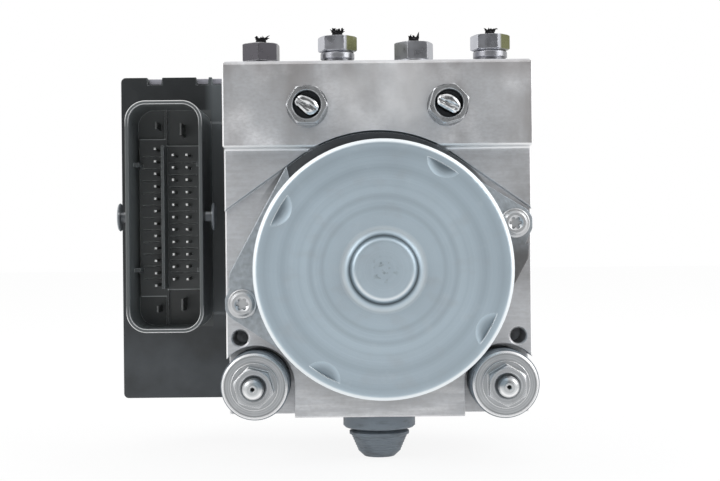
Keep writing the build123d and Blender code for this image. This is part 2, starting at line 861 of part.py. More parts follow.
with BuildPart() as brush_holder:
    with BuildSketch(face.offset(brush_plate_low)):
        Circle(can_inner_radius - 0.5)
        Circle(commutator_radius + 2, mode=Mode.SUBTRACT)
    extrude(amount=2.4)
    box_height = brush_middle + brush_width / 2 + brush_box_wall - brush_plate_low
    with BuildSketch(face.offset(brush_plate_low)):
        for side in (-1, 1):
            with Locations((side * (brush_start + 2.5 + brush_length / 2 + 2), 0)):
                Rectangle(brush_length + 4, brush_width + 2 * brush_box_wall)
    extrude(amount=box_height)
    with BuildSketch(face.offset(brush_middle - brush_width / 2)):
        for side in (-1, 1):
            with Locations((side * (brush_start + brush_length), 0)):
                Rectangle(2 * brush_length, brush_width)
    extrude(amount=brush_width, mode=Mode.SUBTRACT)
save(brush_holder.part, "brush_holder")

with BuildPart() as carbon_brushes:
    with BuildSketch(face.offset(brush_middle - brush_width / 2)):
        for side in (-1, 1):
            with Locations((side * (brush_start + brush_length / 2), 0)):
                Rectangle(brush_length, brush_width)
        Circle(brush_start, mode=Mode.SUBTRACT)
    extrude(amount=brush_width)
save(carbon_brushes.part, "carbon_brushes")

spring_reach = brush_start + brush_length
with BuildPart() as brush_springs:
    with BuildSketch(face.offset(brush_middle - 1.5)):
        for side in (-1, 1):
            with BuildLine():
                Polyline(
                    (side * spring_reach, 1.5),
                    (side * (spring_reach + 3.0), -1.0),
                    (side * (spring_reach + 3.6), -1.0),
                    (side * (spring_reach + 0.6), 1.5),
                    (side * (spring_reach + 3.6), 2.2),
                    (side * (spring_reach + 3.0), 2.2),
                    close=True,
                )
            make_face()
    extrude(amount=3.0)
save(brush_springs.part, "brush_springs")

motor_contact_end_y = board_y - 1.5
with BuildPart() as motor_contacts:
    with BuildSketch(face.offset(brush_plate_low)):
        with Locations(*[(x, z - motor_z) for x, z in contact_points]):
            Circle(contact_radius)
    extrude(amount=motor_face_y - brush_plate_low - motor_contact_end_y)
save(motor_contacts.part, "motor_contacts")

# ================================================================ rotor
eccentric_high = -(pump_y - motor_face_y) + eccentric_length / 2
eccentric_low = eccentric_high - eccentric_length

eccentric_face = facing_front(motor_face_y, 0, motor_z + eccentric_offset)

with BuildPart() as rotor_shaft:
    add(
        turned(
            [
                (0, eccentric_high),
                (shaft_radius, eccentric_high),
                (shaft_radius, end_bearing_base - 1),
                (end_journal_radius, end_bearing_base - 1),
                (end_journal_radius, end_bearing_base + end_bearing[2]),
                (0, end_bearing_base + end_bearing[2]),
            ],
            face,
        )
    )
    add(ring(eccentric_face.offset(eccentric_low), eccentric_radius, eccentric_length))
    add(ring(face.offset(eccentric_low - 1.5), shaft_radius, 1.5))
save(rotor_shaft.part, "rotor_shaft")

with BuildPart() as armature_core:
    with BuildSketch(face.offset(core_low)):
        Circle(armature_radius)
        Circle(shaft_radius, mode=Mode.SUBTRACT)
        with PolarLocations(armature_radius - slot_depth / 2, armature_slots):
            Rectangle(slot_depth + 0.5, slot_width, mode=Mode.SUBTRACT)
    extrude(amount=armature_length)
save(armature_core.part, "armature_core")

winding_turn_height = 4.5
with BuildPart() as armature_windings:
    with BuildSketch(face.offset(core_low - winding_turn_height)):
        with PolarLocations(armature_radius - slot_depth / 2 - 0.8, armature_slots):
            Rectangle(slot_depth - 2.2, slot_width - 0.4)
    extrude(amount=armature_length + 2 * winding_turn_height)
    for low in (core_low - winding_turn_height, core_high):
        high = low + winding_turn_height
        inner_turn = armature_radius - slot_depth - 2
        outer_turn = armature_radius - 1.5
        add(
            turned(
                [
                    (inner_turn + 1.5, low),
                    (outer_turn - 1.5, low),
                    (outer_turn, low + 1.5),
                    (outer_turn, high - 1.5),
                    (outer_turn - 1.5, high),
                    (inner_turn + 1.5, high),
                    (inner_turn, high - 1.5),
                    (inner_turn, low + 1.5),
                ],
                face,
            )
        )
save(armature_windings.part, "armature_windings")

with BuildPart() as commutator:
    with BuildSketch(face.offset(commutator_low)):
        Circle(commutator_radius)
        Circle(shaft_radius, mode=Mode.SUBTRACT)
        with PolarLocations(commutator_radius, armature_slots):
            Rectangle(1.6, 0.6, mode=Mode.SUBTRACT)
    extrude(amount=commutator_length)
save(commutator.part, "commutator")

bearing_sets = [(drive_bearing, drive_bearing_base), (end_bearing, end_bearing_base)]
with BuildPart() as bearing_outer_races:
    for bearing, base in bearing_sets:
        add(bearing_race(face.offset(base), bearing, True))
save(bearing_outer_races.part, "bearing_outer_races")

with BuildPart() as bearing_inner_races:
    for bearing, base in bearing_sets:
        add(bearing_race(face.offset(base), bearing, False))
save(bearing_inner_races.part, "bearing_inner_races")

with BuildPart() as bearing_ball_set:
    for bearing, base in bearing_sets:
        add(bearing_balls(face.offset(base), bearing, 7))
save(bearing_ball_set.part, "bearing_balls")

roller_middle = eccentric_radius + running_gap + roller_radius
ring_inner_radius = roller_middle + roller_radius + running_gap
with BuildPart() as needle_rollers:
    with BuildSketch(eccentric_face.offset(eccentric_low + 0.3)):
        with PolarLocations(roller_middle, 14):
            Circle(roller_radius)
    extrude(amount=eccentric_length - 0.6)
save(needle_rollers.part, "needle_rollers")

with BuildPart() as eccentric_ring:
    add(ring(eccentric_face.offset(eccentric_low), ring_radius, eccentric_length, ring_inner_radius))
save(eccentric_ring.part, "eccentric_ring")

# ================================================================ pump
piston_rest_x = ring_radius + eccentric_offset + running_gap
piston_length = 14.0
piston_travel = 2 * eccentric_offset
sleeve_inner_end = drive_bearing[1] + 4.5
sleeve_length = 13.0
plug_inner_x = side_x - pump_plug_length
pump_spring_wire = 0.9
pump_spring_radius = 2.9
pump_spring_start = piston_rest_x + piston_length
pump_spring_length = plug_inner_x - pump_spring_start - piston_travel - running_gap - pump_spring_wire


def helix_spring(plane, radius, wire, height, turns):
    """Coil spring of square wire that rises from a plane, its ends free."""
    with BuildPart() as spring:
        with BuildLine() as coil:
            turns_line = Helix(
                pitch=height / turns,
                height=height,
                radius=radius,
                center=plane.origin,
                direction=plane.z_dir,
            )
        with BuildSketch(Plane(origin=turns_line @ 0, z_dir=turns_line % 0)):
            Rectangle(wire, wire)
        sweep(path=coil.line, is_frenet=True)
    return spring.part


for side, label in ((-1, "left"), (1, "right")):
    with BuildPart() as pump_piston:
        tip = facing_side(side * piston_rest_x, pump_y, motor_z, side)
        add(
            turned(
                [
                    (0, 0),
                    (piston_radius - 1.0, 0),
                    (piston_radius - running_gap, 1.0),
                    (piston_radius - running_gap, piston_length),
                    (1.4, piston_length),
                    (1.4, piston_length - 5.0),
                    (0, piston_length - 5.0),
                ],
                tip,
            )
        )
    save(pump_piston.part, f"pump_piston_{label}")

    with BuildPart() as pump_spring:
        spring_x = side * (pump_spring_start + pump_spring_wire / 2 + running_gap)
        add(
            helix_spring(
                facing_side(spring_x, pump_y, motor_z, side),
                pump_spring_radius,
                pump_spring_wire,
                pump_spring_length,
                4,
            )
        )
    save(pump_spring.part, f"pump_spring_{label}")

with BuildPart() as pump_sleeves:
    for side in (-1, 1):
        add(ring(facing_side(side * sleeve_inner_end, pump_y, motor_z, side), pump_bore_radius, sleeve_length,
                 piston_radius))
save(pump_sleeves.part, "pump_sleeves")

with BuildPart() as pump_plugs:
    for side in (-1, 1):
        outer_face = facing_side(side * side_x, pump_y, motor_z, side)
        add(
            turned(
                [
                    (0, -pump_plug_length),
                    (pump_bore_radius, -pump_plug_length),
                    (pump_bore_radius, -1.2),
                    (pump_bore_radius - 0.6, -0.6),
                    (3.0, -0.6),
                    (2.4, -1.4),
                    (0, -1.4),
                ],
                outer_face,
            )
        )
save(pump_plugs.part, "pump_plugs")

# ================================================================ low-pressure accumulators
accumulator_piston_height = 7.0
accumulator_piston_z = accumulator_depth - accumulator_piston_height - 0.3
accumulator_wire = 1.1
for side, label in ((-1, "left"), (1, "right")):
    centre = Plane(origin=(side * accumulator_x, accumulator_y, 0))
    with BuildPart() as accumulator_piston:
        outside = accumulator_radius - running_gap
        add(
            turned(
                [
                    (0, accumulator_piston_z + 3.0),
                    (outside - 2.0, accumulator_piston_z + 3.0),
                    (outside - 2.0, accumulator_piston_z),
                    (outside, accumulator_piston_z),
                    (outside, accumulator_piston_z + accumulator_piston_height),
                    (0, accumulator_piston_z + accumulator_piston_height),
                ],
                centre,
            )
        )
    save(accumulator_piston.part, f"accumulator_piston_{label}")

    with BuildPart() as accumulator_spring:
        spring_base = accumulator_cap_thickness + accumulator_wire / 2 + running_gap
        spring_height = accumulator_piston_z + 3.0 - spring_base - accumulator_wire / 2 - running_gap
        spring_radius = accumulator_radius - 3.6
        add(helix_spring(centre.offset(spring_base), spring_radius, accumulator_wire, spring_height, 4))
    save(accumulator_spring.part, f"accumulator_spring_{label}")

with BuildPart() as accumulator_caps:
    for x in accumulator_xs:
        add(
            turned(
                [
                    (0, 0.8),
                    (accumulator_radius - 3.0, 0.8),
                    (accumulator_radius - 2.4, 0),
                    (accumulator_radius, 0),
                    (accumulator_radius, accumulator_cap_thickness),
                    (0, accumulator_cap_thickness),
                ],
                Plane(origin=(x, accumulator_y, 0)),
            )
        )
save(accumulator_caps.part, "accumulator_caps")

# ================================================================ solenoid valves
dome_radius = 3.2
coil_base = 3.5             # behind the block's back face
coil_length = 11.0
coil_radius = 6.9
coil_inner_radius = dome_radius + air_gap
yoke_wall = 1.0
plunger_rest = 2.0          # plunger's lower end, behind the block's back face


def valve_plane(x, z):
    """Plane on the block's back face whose normal looks to the back."""
    return Plane(origin=(x, back_y, z), x_dir=(1, 0, 0), z_dir=(0, 1, 0))


def valve_body(plane):
    """Cartridge: filter end in the block, caulked collar, thin dome with the plunger's bore inside."""
    bore = plunger_radius + running_gap
    bore_top = plunger_rest + plunger_length + plunger_travel + 0.05
    with BuildPart() as cartridge:
        add(
            turned(
                [
                    (0, -valve_socket_depth),
                    (valve_radius - 1.0, -valve_socket_depth),
                    (valve_radius, -valve_socket_depth + 2.0),
                    (valve_radius, 0),
                    (valve_flange_radius, 0),
                    (valve_flange_radius, 1.2),
                    (dome_radius, 1.6),
                    (dome_radius, valve_dome_height - 1.2),
                    (dome_radius - 1.2, valve_dome_height),
                    (0, valve_dome_height),
                ],
                plane,
            )
        )
        add(ring(plane.offset(plunger_rest - 0.05), bore, bore_top - plunger_rest + 0.05), mode=Mode.SUBTRACT)
    return cartridge.part


for label, points in (("inlet", inlet_points), ("outlet", outlet_points)):
    with BuildPart() as valves:
        for x, z in points:
            add(valve_body(valve_plane(x, z)))
    save(valves.part, f"{label}_valves")
    for number, (x, z) in enumerate(points, start=1):
        with BuildPart() as plunger:
            add(ring(valve_plane(x, z).offset(plunger_rest), plunger_radius, plunger_length))
        save(plunger.part, f"{label}_plunger_{number}")

with BuildPart() as valve_coils:
    for x, z in inlet_points + outlet_points:
        add(ring(valve_plane(x, z).offset(coil_base), coil_radius, coil_length, coil_inner_radius))
save(valve_coils.part, "valve_coils")

with BuildPart() as coil_yokes:
    for x, z in inlet_points + outlet_points:
        add(
            turned(
                [
                    (coil_inner_radius, coil_base + coil_length),
                    (coil_radius, coil_base + coil_length),
                    (coil_radius, coil_base),
                    (coil_radius + yoke_wall, coil_base),
                    (coil_radius + yoke_wall, coil_base + coil_length + yoke_wall),
                    (coil_inner_radius, coil_base + coil_length + yoke_wall),
                ],
                valve_plane(x, z),
            )
        )
save(coil_yokes.part, "coil_yokes")

# ================================================================ electronic control unit
ecu_right_x = side_x
ecu_width = ecu_right_x - ecu_left_x
ecu_middle_x = (ecu_right_x + ecu_left_x) / 2
ecu_middle_z = ecu_bottom_z + ecu_height / 2
lid_skirt = 2.0
lid_gap = 0.1
plate_inset = lid_skirt + lid_gap
lid_start_y = ecu_front_y + ecu_wall + 0.3
window_width = valve_columns[-1] - valve_columns[0] + 18.0
window_low_z = outlet_row_z - 10.5
window_high_z = inlet_row_z + 8.4
gasket_margin = 2.0
gasket_thickness = 1.0
screw_tube_radius = 3.9
screw_head_radius = 3.4
screw_head_height = 2.5
notches = [(-76.7, -71.6), (-60.2, -55.9), (-54.9, -49.0)]
notch_depth = 2.6
trunnion_setback = 7.0      # from the socket's rim to the trunnions' axis
trunnion_shaft_radius = 1.6
trunnion_shaft_length = 2.3
trunnion_head_radius = 4.5
trunnion_head_length = 0.8

pin_columns = [-4.1, 1.7, 6.1]
pin_counts = [12, 11, 11]
pin_points = []
for column_x, count in zip(pin_columns, pin_counts):
    for i in range(count):
        pin_points.append((shroud_x + column_x, shroud_z + (i - (count - 1) / 2) * pin_pitch))
narrow_blades = [(shroud_x - 3.7, shroud_z + side * 29.6) for side in (-1, 1)]
wide_blades = [(shroud_x + 4.3, shroud_z + side * 28.3) for side in (-1, 1)]
blade_thickness = 0.6
narrow_blade_width = 2.2
wide_blade_width = 3.9
# raised islands of the socket's floor: middle x from the socket's middle, width, height
partition_x = shroud_x - 1.7
islands = [(-6.1, 8.6, 51.6), (3.8, 11.0, 47.2)]
island_height = 1.7
groove_size = 0.35
partition_width = 0.9
partition_length = 46.0
coding_rib_rise = 17.0      # coding ribs above and below the socket's middle, on both side walls
coding_rib = (1.8, 1.2)     # how far a rib stands out, and its thickness
land_width = 10.0           # raised land between the shroud and the block
land_height = 65.0
land_thickness = 0.8
land_overlap = 1.5          # how far the land runs into the shroud
guide_rib = (1.9, 0.8)      # width and height of the guide ribs above and below the shroud
window_middle_z = (window_low_z + window_high_z) / 2
window_height = window_high_z - window_low_z


def contact_holes(y, depth):
    """Square and flat passages of all contacts, cut or built through a depth towards the front."""
    with BuildPart() as passages:
        with BuildSketch(facing_front(y)):
            with Locations(*pin_points):
                Rectangle(pin_size, pin_size)
            with Locations(*narrow_blades):
                Rectangle(blade_thickness, narrow_blade_width)
            with Locations(*wide_blades):
                Rectangle(blade_thickness, wide_blade_width)
        extrude(amount=depth)
    return passages.part


def trunnion(side):
    """Round stub with a thin head on one side of the shroud, where the plug's lever hooks on."""
    root = 0.5
    head = root + trunnion_shaft_length
    end = head + trunnion_head_length
    base_x = shroud_x + side * (shroud_width / 2 - root)
    profile = [
        (0, 0),
        (trunnion_shaft_radius, 0),
        (trunnion_shaft_radius, head),
        (trunnion_head_radius - 0.3, head),
        (trunnion_head_radius, head + trunnion_head_length / 2),
        (trunnion_head_radius - 0.3, end),
        (0, end),
    ]
    return turned(profile, facing_side(base_x, shroud_rim_y + trunnion_setback, shroud_z, side))


inside_y = ecu_front_y + ecu_wall
with BuildPart() as ecu_housing:
    # front plate
    with BuildSketch(facing_front(inside_y)):
        with Locations((ecu_middle_x, ecu_middle_z)):
            RectangleRounded(ecu_width, ecu_height, 1.6)
    extrude(amount=ecu_wall)
    # side walls behind it
    with BuildSketch(facing_front(ecu_back_y)):
        with Locations((ecu_middle_x, ecu_middle_z)):
            RectangleRounded(ecu_width - 2 * plate_inset, ecu_height - 2 * plate_inset, 3.0)
            RectangleRounded(
                ecu_width - 2 * plate_inset - 2 * ecu_wall,
                ecu_height - 2 * plate_inset - 2 * ecu_wall,
                1.5,
                mode=Mode.SUBTRACT,
            )
    extrude(amount=ecu_back_y - inside_y)
    # frame round the valve window and tubes for the fixing screws
    with BuildSketch(facing_front(ecu_front_y)):
        with Locations((0, window_middle_z)):
            Rectangle(window_width + 2 * gasket_margin, window_height + 2 * gasket_margin)
    extrude(amount=ecu_front_y - back_y - gasket_thickness)
    with BuildSketch(facing_front(ecu_back_y)):
        with Locations(*ecu_screw_points):
            Circle(screw_tube_radius)
    extrude(amount=ecu_back_y - back_y)
    # shroud of the connector
    with BuildSketch(facing_front(inside_y)):
        with Locations((shroud_x, shroud_z)):
            RectangleRounded(shroud_width, shroud_height, shroud_corner)
    extrude(amount=inside_y - shroud_rim_y)
    for side in (-1, 1):
        add(trunnion(side))
    with BuildSketch(facing_front(ecu_front_y)):
        with Locations((shroud_x, shroud_z)):
            Rectangle(guide_rib[0], shroud_height + 2 * guide_rib[1])
    extrude(amount=shroud_length - trunnion_setback)
    # raised land between the shroud and the block
    with BuildSketch(facing_front(ecu_front_y)):
        with Locations((shroud_x + (shroud_width + land_width) / 2 - land_overlap, shroud_z)):
            Rectangle(land_width, land_height)
    extrude(amount=land_thickness, taper=45)
    with BuildSketch(facing_front(shroud_floor_y)):
        with Locations((shroud_x, shroud_z)):
            RectangleRounded(
                shroud_width - 2 * shroud_wall,
                shroud_height - 2 * shroud_wall,
                shroud_corner - shroud_wall,
            )
    extrude(amount=shroud_depth, mode=Mode.SUBTRACT)
    rim_edges = ecu_housing.faces().sort_by(Axis.Y)[0].edges()
    fillet(rim_edges, rim_fillet)
    # floor of the socket: two islands, a low rib between their ends, a partition between the pins
    with BuildSketch(facing_front(shroud_floor_y)):
        for island_x, island_width, island_length in islands:
            with Locations((shroud_x + island_x, shroud_z)):
                Rectangle(island_width, island_length)
        with Locations((partition_x, shroud_z)):
            Rectangle(partition_width, shroud_height - 2 * shroud_wall)
    extrude(amount=island_height)
    with BuildSketch(facing_front(shroud_floor_y)):
        with Locations((partition_x, shroud_z)):
            Rectangle(partition_width, partition_length)
        for side in (-1, 1):
            wall_x = shroud_x + side * (shroud_width / 2 - shroud_wall - coding_rib[0] / 2)
            for rise in (-coding_rib_rise, coding_rib_rise):
                with Locations((wall_x, shroud_z + rise)):
                    Rectangle(*coding_rib)
    extrude(amount=pin_length - 0.5)
    # shallow grooves across the islands, between the pins of a column
    with BuildSketch(facing_front(shroud_floor_y - island_height)):
        for (island_x, island_width, _), count in zip(islands, pin_counts):
            for i in range(count - 1):
                with Locations((shroud_x + island_x, shroud_z + (i + 1 - count / 2) * pin_pitch)):
                    Rectangle(island_width - 2.0, groove_size)
    extrude(amount=-groove_size, mode=Mode.SUBTRACT)
    # notches in the top edge of the front plate
    with BuildSketch(facing_front(inside_y)):
        for left, right in notches:
            with Locations(((left + right) / 2, ecu_bottom_z + ecu_height)):
                Rectangle(right - left, 2 * notch_depth)
    extrude(amount=ecu_wall, mode=Mode.SUBTRACT)
    with BuildSketch(facing_front(inside_y)):
        with Locations((0, window_middle_z)):
            Rectangle(window_width, window_height)
    extrude(amount=inside_y - back_y, mode=Mode.SUBTRACT)
    with BuildSketch(facing_front(ecu_back_y)):
        with Locations(*ecu_screw_points):
            Circle(ecu_screw_radius)
    extrude(amount=ecu_back_y - back_y, mode=Mode.SUBTRACT)
    add(contact_holes(inside_y, inside_y - shroud_floor_y + island_height), mode=Mode.SUBTRACT)
save(ecu_housing.part, "ecu_housing")

with BuildPart() as ecu_gasket:
    with BuildSketch(facing_front(back_y + gasket_thickness)):
        with Locations((0, window_middle_z)):
            Rectangle(window_width + 2 * gasket_margin, window_height + 2 * gasket_margin)
            Rectangle(window_width, window_height, mode=Mode.SUBTRACT)
    extrude(amount=gasket_thickness)
save(ecu_gasket.part, "ecu_gasket")

contact_end_y = board_y + board_thickness + 0.8
with BuildPart() as connector_contacts:
    add(contact_holes(contact_end_y, contact_end_y - pin_tip_y))
    tips = connector_contacts.faces().filter_by(Axis.Y).group_by(Axis.Y)[0]
    chamfer(tips.edges(), length=0.2)
save(connector_contacts.part, "connector_contacts")

board_width = ecu_width - 2 * plate_inset - 2 * ecu_wall - 1.0
board_height = ecu_height - 2 * plate_inset - 2 * ecu_wall - 1.0
with BuildPart() as circuit_board:
    with BuildSketch(facing_front(board_y + board_thickness)):
        with Locations((ecu_middle_x, ecu_middle_z)):
            Rectangle(board_width, board_height)
        with Locations(*ecu_screw_points):
            Circle(screw_tube_radius + air_gap, mode=Mode.SUBTRACT)
    extrude(amount=board_thickness)
    add(contact_holes(board_y + board_thickness, board_thickness), mode=Mode.SUBTRACT)
save(circuit_board.part, "circuit_board")

# place from the middle of the board's lower edge, then width, height and thickness, or radius and height
chips = [(-3, 38, 14, 14, 1.6), (25, 38, 10, 10, 1.4), (45, 28, 8, 6, 1.2), (-16, 78, 9, 9, 1.5)]
capacitors = [(17, 13, 4.0, 5.0), (29, 13, 4.0, 5.0)]
with BuildPart() as board_components:
    for x, z, wide, tall, thick in chips:
        with BuildSketch(facing_front(board_y + board_thickness)):
            with Locations((ecu_middle_x + x, ecu_bottom_z + z)):
                Rectangle(wide, tall)
        extrude(amount=-thick)
    for x, z, radius, tall in capacitors:
        base = facing_front(board_y + board_thickness, ecu_middle_x + x, ecu_bottom_z + z)
        add(ring(base, radius, -tall))
save(board_components.part, "board_components")

with BuildPart() as ecu_cover:
    with BuildSketch(facing_front(ecu_back_y + cover_thickness)):
        with Locations((ecu_middle_x, ecu_middle_z)):
            RectangleRounded(ecu_width - 0.4, ecu_height - 0.4, 4.5)
    extrude(amount=ecu_back_y + cover_thickness - lid_start_y)
    fillet(ecu_cover.faces().sort_by(Axis.Y)[-1].edges(), 1.8)
    with BuildSketch(facing_front(ecu_back_y)):
        with Locations((ecu_middle_x, ecu_middle_z)):
            RectangleRounded(ecu_width - 2 * lid_skirt, ecu_height - 2 * lid_skirt, 3.1)
    extrude(amount=ecu_back_y - lid_start_y, mode=Mode.SUBTRACT)
    with BuildSketch(facing_front(ecu_back_y + cover_thickness)):
        with Locations(*ecu_screw_points):
            Circle(screw_head_radius + air_gap)
    extrude(amount=cover_thickness, mode=Mode.SUBTRACT)
save(ecu_cover.part, "ecu_cover")

screw_end = back_y - ecu_screw_depth + thread_end_gap - ecu_back_y
with BuildPart() as ecu_screws:
    for x, z in ecu_screw_points:
        head = Plane(origin=(x, ecu_back_y, z), x_dir=(1, 0, 0), z_dir=(0, 1, 0))
        add(
            turned(
                [
                    (0, screw_end),
                    (ecu_screw_radius, screw_end),
                    (ecu_screw_radius, 0),
                    (screw_head_radius, 0),
                    (screw_head_radius, screw_head_height - 0.5),
                    (screw_head_radius - 0.5, screw_head_height),
                    (0, screw_head_height),
                ],
                head,
            )
        )
        with BuildSketch(head.offset(screw_head_height)):
            Circle(1.5)
        extrude(amount=-1.5, mode=Mode.SUBTRACT)
save(ecu_screws.part, "ecu_screws")
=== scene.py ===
import json
import math
import random

import bmesh
import bpy
from mathutils import Matrix, Vector


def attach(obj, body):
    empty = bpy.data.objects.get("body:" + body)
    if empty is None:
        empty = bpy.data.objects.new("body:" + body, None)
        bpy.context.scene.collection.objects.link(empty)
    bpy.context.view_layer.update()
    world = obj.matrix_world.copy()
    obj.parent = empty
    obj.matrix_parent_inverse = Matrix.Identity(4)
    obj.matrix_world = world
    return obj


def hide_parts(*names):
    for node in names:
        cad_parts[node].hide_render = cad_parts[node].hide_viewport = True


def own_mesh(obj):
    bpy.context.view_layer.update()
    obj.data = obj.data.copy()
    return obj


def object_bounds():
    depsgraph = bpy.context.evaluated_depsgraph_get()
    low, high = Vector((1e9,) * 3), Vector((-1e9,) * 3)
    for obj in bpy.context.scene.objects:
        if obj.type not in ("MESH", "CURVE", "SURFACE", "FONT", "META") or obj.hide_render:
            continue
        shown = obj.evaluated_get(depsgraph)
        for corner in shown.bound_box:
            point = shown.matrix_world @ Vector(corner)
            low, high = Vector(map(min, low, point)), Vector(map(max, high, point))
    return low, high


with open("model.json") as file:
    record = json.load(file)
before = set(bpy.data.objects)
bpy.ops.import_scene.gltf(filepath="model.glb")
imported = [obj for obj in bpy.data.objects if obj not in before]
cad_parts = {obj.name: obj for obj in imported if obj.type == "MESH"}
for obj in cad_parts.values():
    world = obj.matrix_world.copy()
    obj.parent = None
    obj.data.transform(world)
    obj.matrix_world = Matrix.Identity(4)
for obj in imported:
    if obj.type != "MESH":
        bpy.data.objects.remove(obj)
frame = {"nodes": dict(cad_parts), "record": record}
cad_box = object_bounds()
NODES = frame["nodes"]
MM = 0.001

# ------------------------------------------------------------------ places on the part, in metres, as in its source
MOTOR_Z = 47.0 * MM
BLOCK_TOP = 110.0 * MM
TAPPED_X = 43.1 * MM
TAPPED_Z = 24.9 * MM
STUD_X = 38.4 * MM
STUD_Z = 10.5 * MM
MASTER_X = 21.4 * MM
MASTER_Z = 95.9 * MM
SHROUD_X = -67.2 * MM
SHROUD_Z = 63.0 * MM
WHEEL_X = [x * MM for x in (-36.675, -12.225, 12.225, 36.675)]
# bands of painted shade on the can's end: middle radius and half width in millimetres, and how dark
DISC_SHADE_BANDS = ((16.3, 1.0, 0.35), (19.4, 1.2, 0.35), (26.8, 2.2, 0.35), (31.5, 3.0, 0.45))


# ------------------------------------------------------------------ node helpers
class Material:
    """A node material whose colour, roughness and bump are built up step by step."""

    def __init__(self, name, colour, metallic=0.0, roughness=0.5, specular=0.5):
        self.material = bpy.data.materials.new(name)
        self.material.use_nodes = True
        self.tree = self.material.node_tree
        self.shader = self.tree.nodes["Principled BSDF"]
        self.shader.inputs["Metallic"].default_value = metallic
        self.shader.inputs["Specular IOR Level"].default_value = specular
        self.coordinates = self.add("ShaderNodeTexCoord").outputs["Object"]
        self.plain_roughness = roughness
        self.shader.inputs["Roughness"].default_value = roughness
        self.colour = None
        self.plain_colour = colour
        self.roughness = None
        self.height = None
        self.rounded = None

    def add(self, kind, **settings):
        node = self.tree.nodes.new(kind)
        for key, value in settings.items():
            setattr(node, key, value)
        return node

    def link(self, source, target):
        self.tree.links.new(source, target)

    def math(self, operation, a, b=None, clamp=False):
        node = self.add("ShaderNodeMath", operation=operation, use_clamp=clamp)
        for socket, item in zip(node.inputs, (a, b)):
            if item is None:
                continue
            if isinstance(item, (int, float)):
                socket.default_value = item
            else:
                self.link(item, socket)
        return node.outputs[0]

    def stretched(self, scale, turn=(0, 0, 0)):
        node = self.add("ShaderNodeMapping")
        node.inputs["Scale"].default_value = scale
        node.inputs["Rotation"].default_value = turn
        self.link(self.coordinates, node.inputs["Vector"])
        return node.outputs[0]

    def noise(self, scale, detail=4.0, stretch=(1, 1, 1), turn=(0, 0, 0), low=0.3, high=0.7):
        """Noise between 0 and 1; scale is in lumps per metre."""
        node = self.add("ShaderNodeTexNoise")
        node.inputs["Scale"].default_value = scale
        node.inputs["Detail"].default_value = detail
        self.link(self.stretched(stretch, turn), node.inputs["Vector"])
        return self.ramp(node.outputs["Fac"], low, high)

    def ramp(self, source, low, high):
        node = self.add("ShaderNodeMapRange", clamp=True)
        node.inputs["From Min"].default_value = low
        node.inputs["From Max"].default_value = high
        self.link(source, node.inputs["Value"])
        return node.outputs[0]

    def tint(self, fac, colour, amount=1.0):
        """Blends the colour towards another one where fac is high."""
        node = self.add("ShaderNodeMix", data_type="RGBA")
        self.link(self.math("MULTIPLY", fac, amount), node.inputs["Factor"])
        if self.colour is None:
            node.inputs["A"].default_value = (*self.plain_colour, 1.0)
        else:
            self.link(self.colour, node.inputs["A"])
        node.inputs["B"].default_value = (*colour, 1.0)
        self.colour = node.outputs["Result"]

    def roughen(self, fac, amount):
        start = self.plain_roughness if self.roughness is None else self.roughness
        self.roughness = self.math("ADD", self.math("MULTIPLY", fac, amount), start, clamp=True)

    def raise_by(self, fac, amount):
        lifted = self.math("MULTIPLY", fac, amount)
        self.height = lifted if self.height is None else self.math("ADD", self.height, lifted)

    def along(self, axis, low, high):
        """0 to 1 as the place along one axis goes from low to high."""
        return self.ramp(self.place(axis), low, high)

    def place(self, axis):
        split = self.add("ShaderNodeSeparateXYZ")
        self.link(self.coordinates, split.inputs[0])
        return split.outputs[axis]

    def both(self, *masks):
        result = masks[0]
        for mask in masks[1:]:
            result = self.math("MULTIPLY", result, mask)
        return result

    def axis_radius(self, centre, across=("X", "Z")):
        """Distance from a line through centre, square to the two named axes."""
        squares = []
        for axis, middle in zip(across, centre):
            offset = self.math("SUBTRACT", self.place(axis), middle)
            squares.append(self.math("MULTIPLY", offset, offset))
        return self.math("SQRT", self.math("ADD", squares[0], squares[1]))

    def rings(self, radius, scale, detail=3.0, low=0.35, high=0.65):
        """Noise that changes with the radius only, as left by turning or drawing."""
        node = self.add("ShaderNodeTexNoise", noise_dimensions="1D")
        node.inputs["Scale"].default_value = scale
        node.inputs["Detail"].default_value = detail
        self.link(radius, node.inputs["W"])
        return self.ramp(node.outputs["Fac"], low, high)

    def round_edges(self, radius):
        """Softens every edge by radius, so that it catches the light."""
        node = self.add("ShaderNodeBevel", samples=6)
        node.inputs["Radius"].default_value = radius
        self.rounded = node.outputs[0]

    def edges(self, low=0.9, high=0.75):
        """1 along the softened edges and 0 elsewhere."""
        geometry = self.add("ShaderNodeNewGeometry")
        product = self.add("ShaderNodeVectorMath", operation="DOT_PRODUCT")
        self.link(self.rounded, product.inputs[0])
        self.link(geometry.outputs["Normal"], product.inputs[1])
        return self.ramp(product.outputs["Value"], low, high)

    def facing(self, axis, low, high):
        """0 to 1 as the surface turns square to the axis, either way."""
        geometry = self.add("ShaderNodeNewGeometry")
        split = self.add("ShaderNodeSeparateXYZ")
        self.link(geometry.outputs["Normal"], split.inputs[0])
        return self.ramp(self.math("ABSOLUTE", split.outputs[axis]), low, high)

    def near(self, centre, across, outer, inner):
        """1 inside the inner radius from an axis, 0 outside the outer one."""
        return self.ramp(self.axis_radius(centre, across), outer, inner)

    def ring(self, radius, middle, half):
        """1 on a circle of the given radius, fading out over half on both sides."""
        inner = self.ramp(radius, middle - half, middle)
        outer = self.ramp(radius, middle + half, middle)
        return self.both(inner, outer)

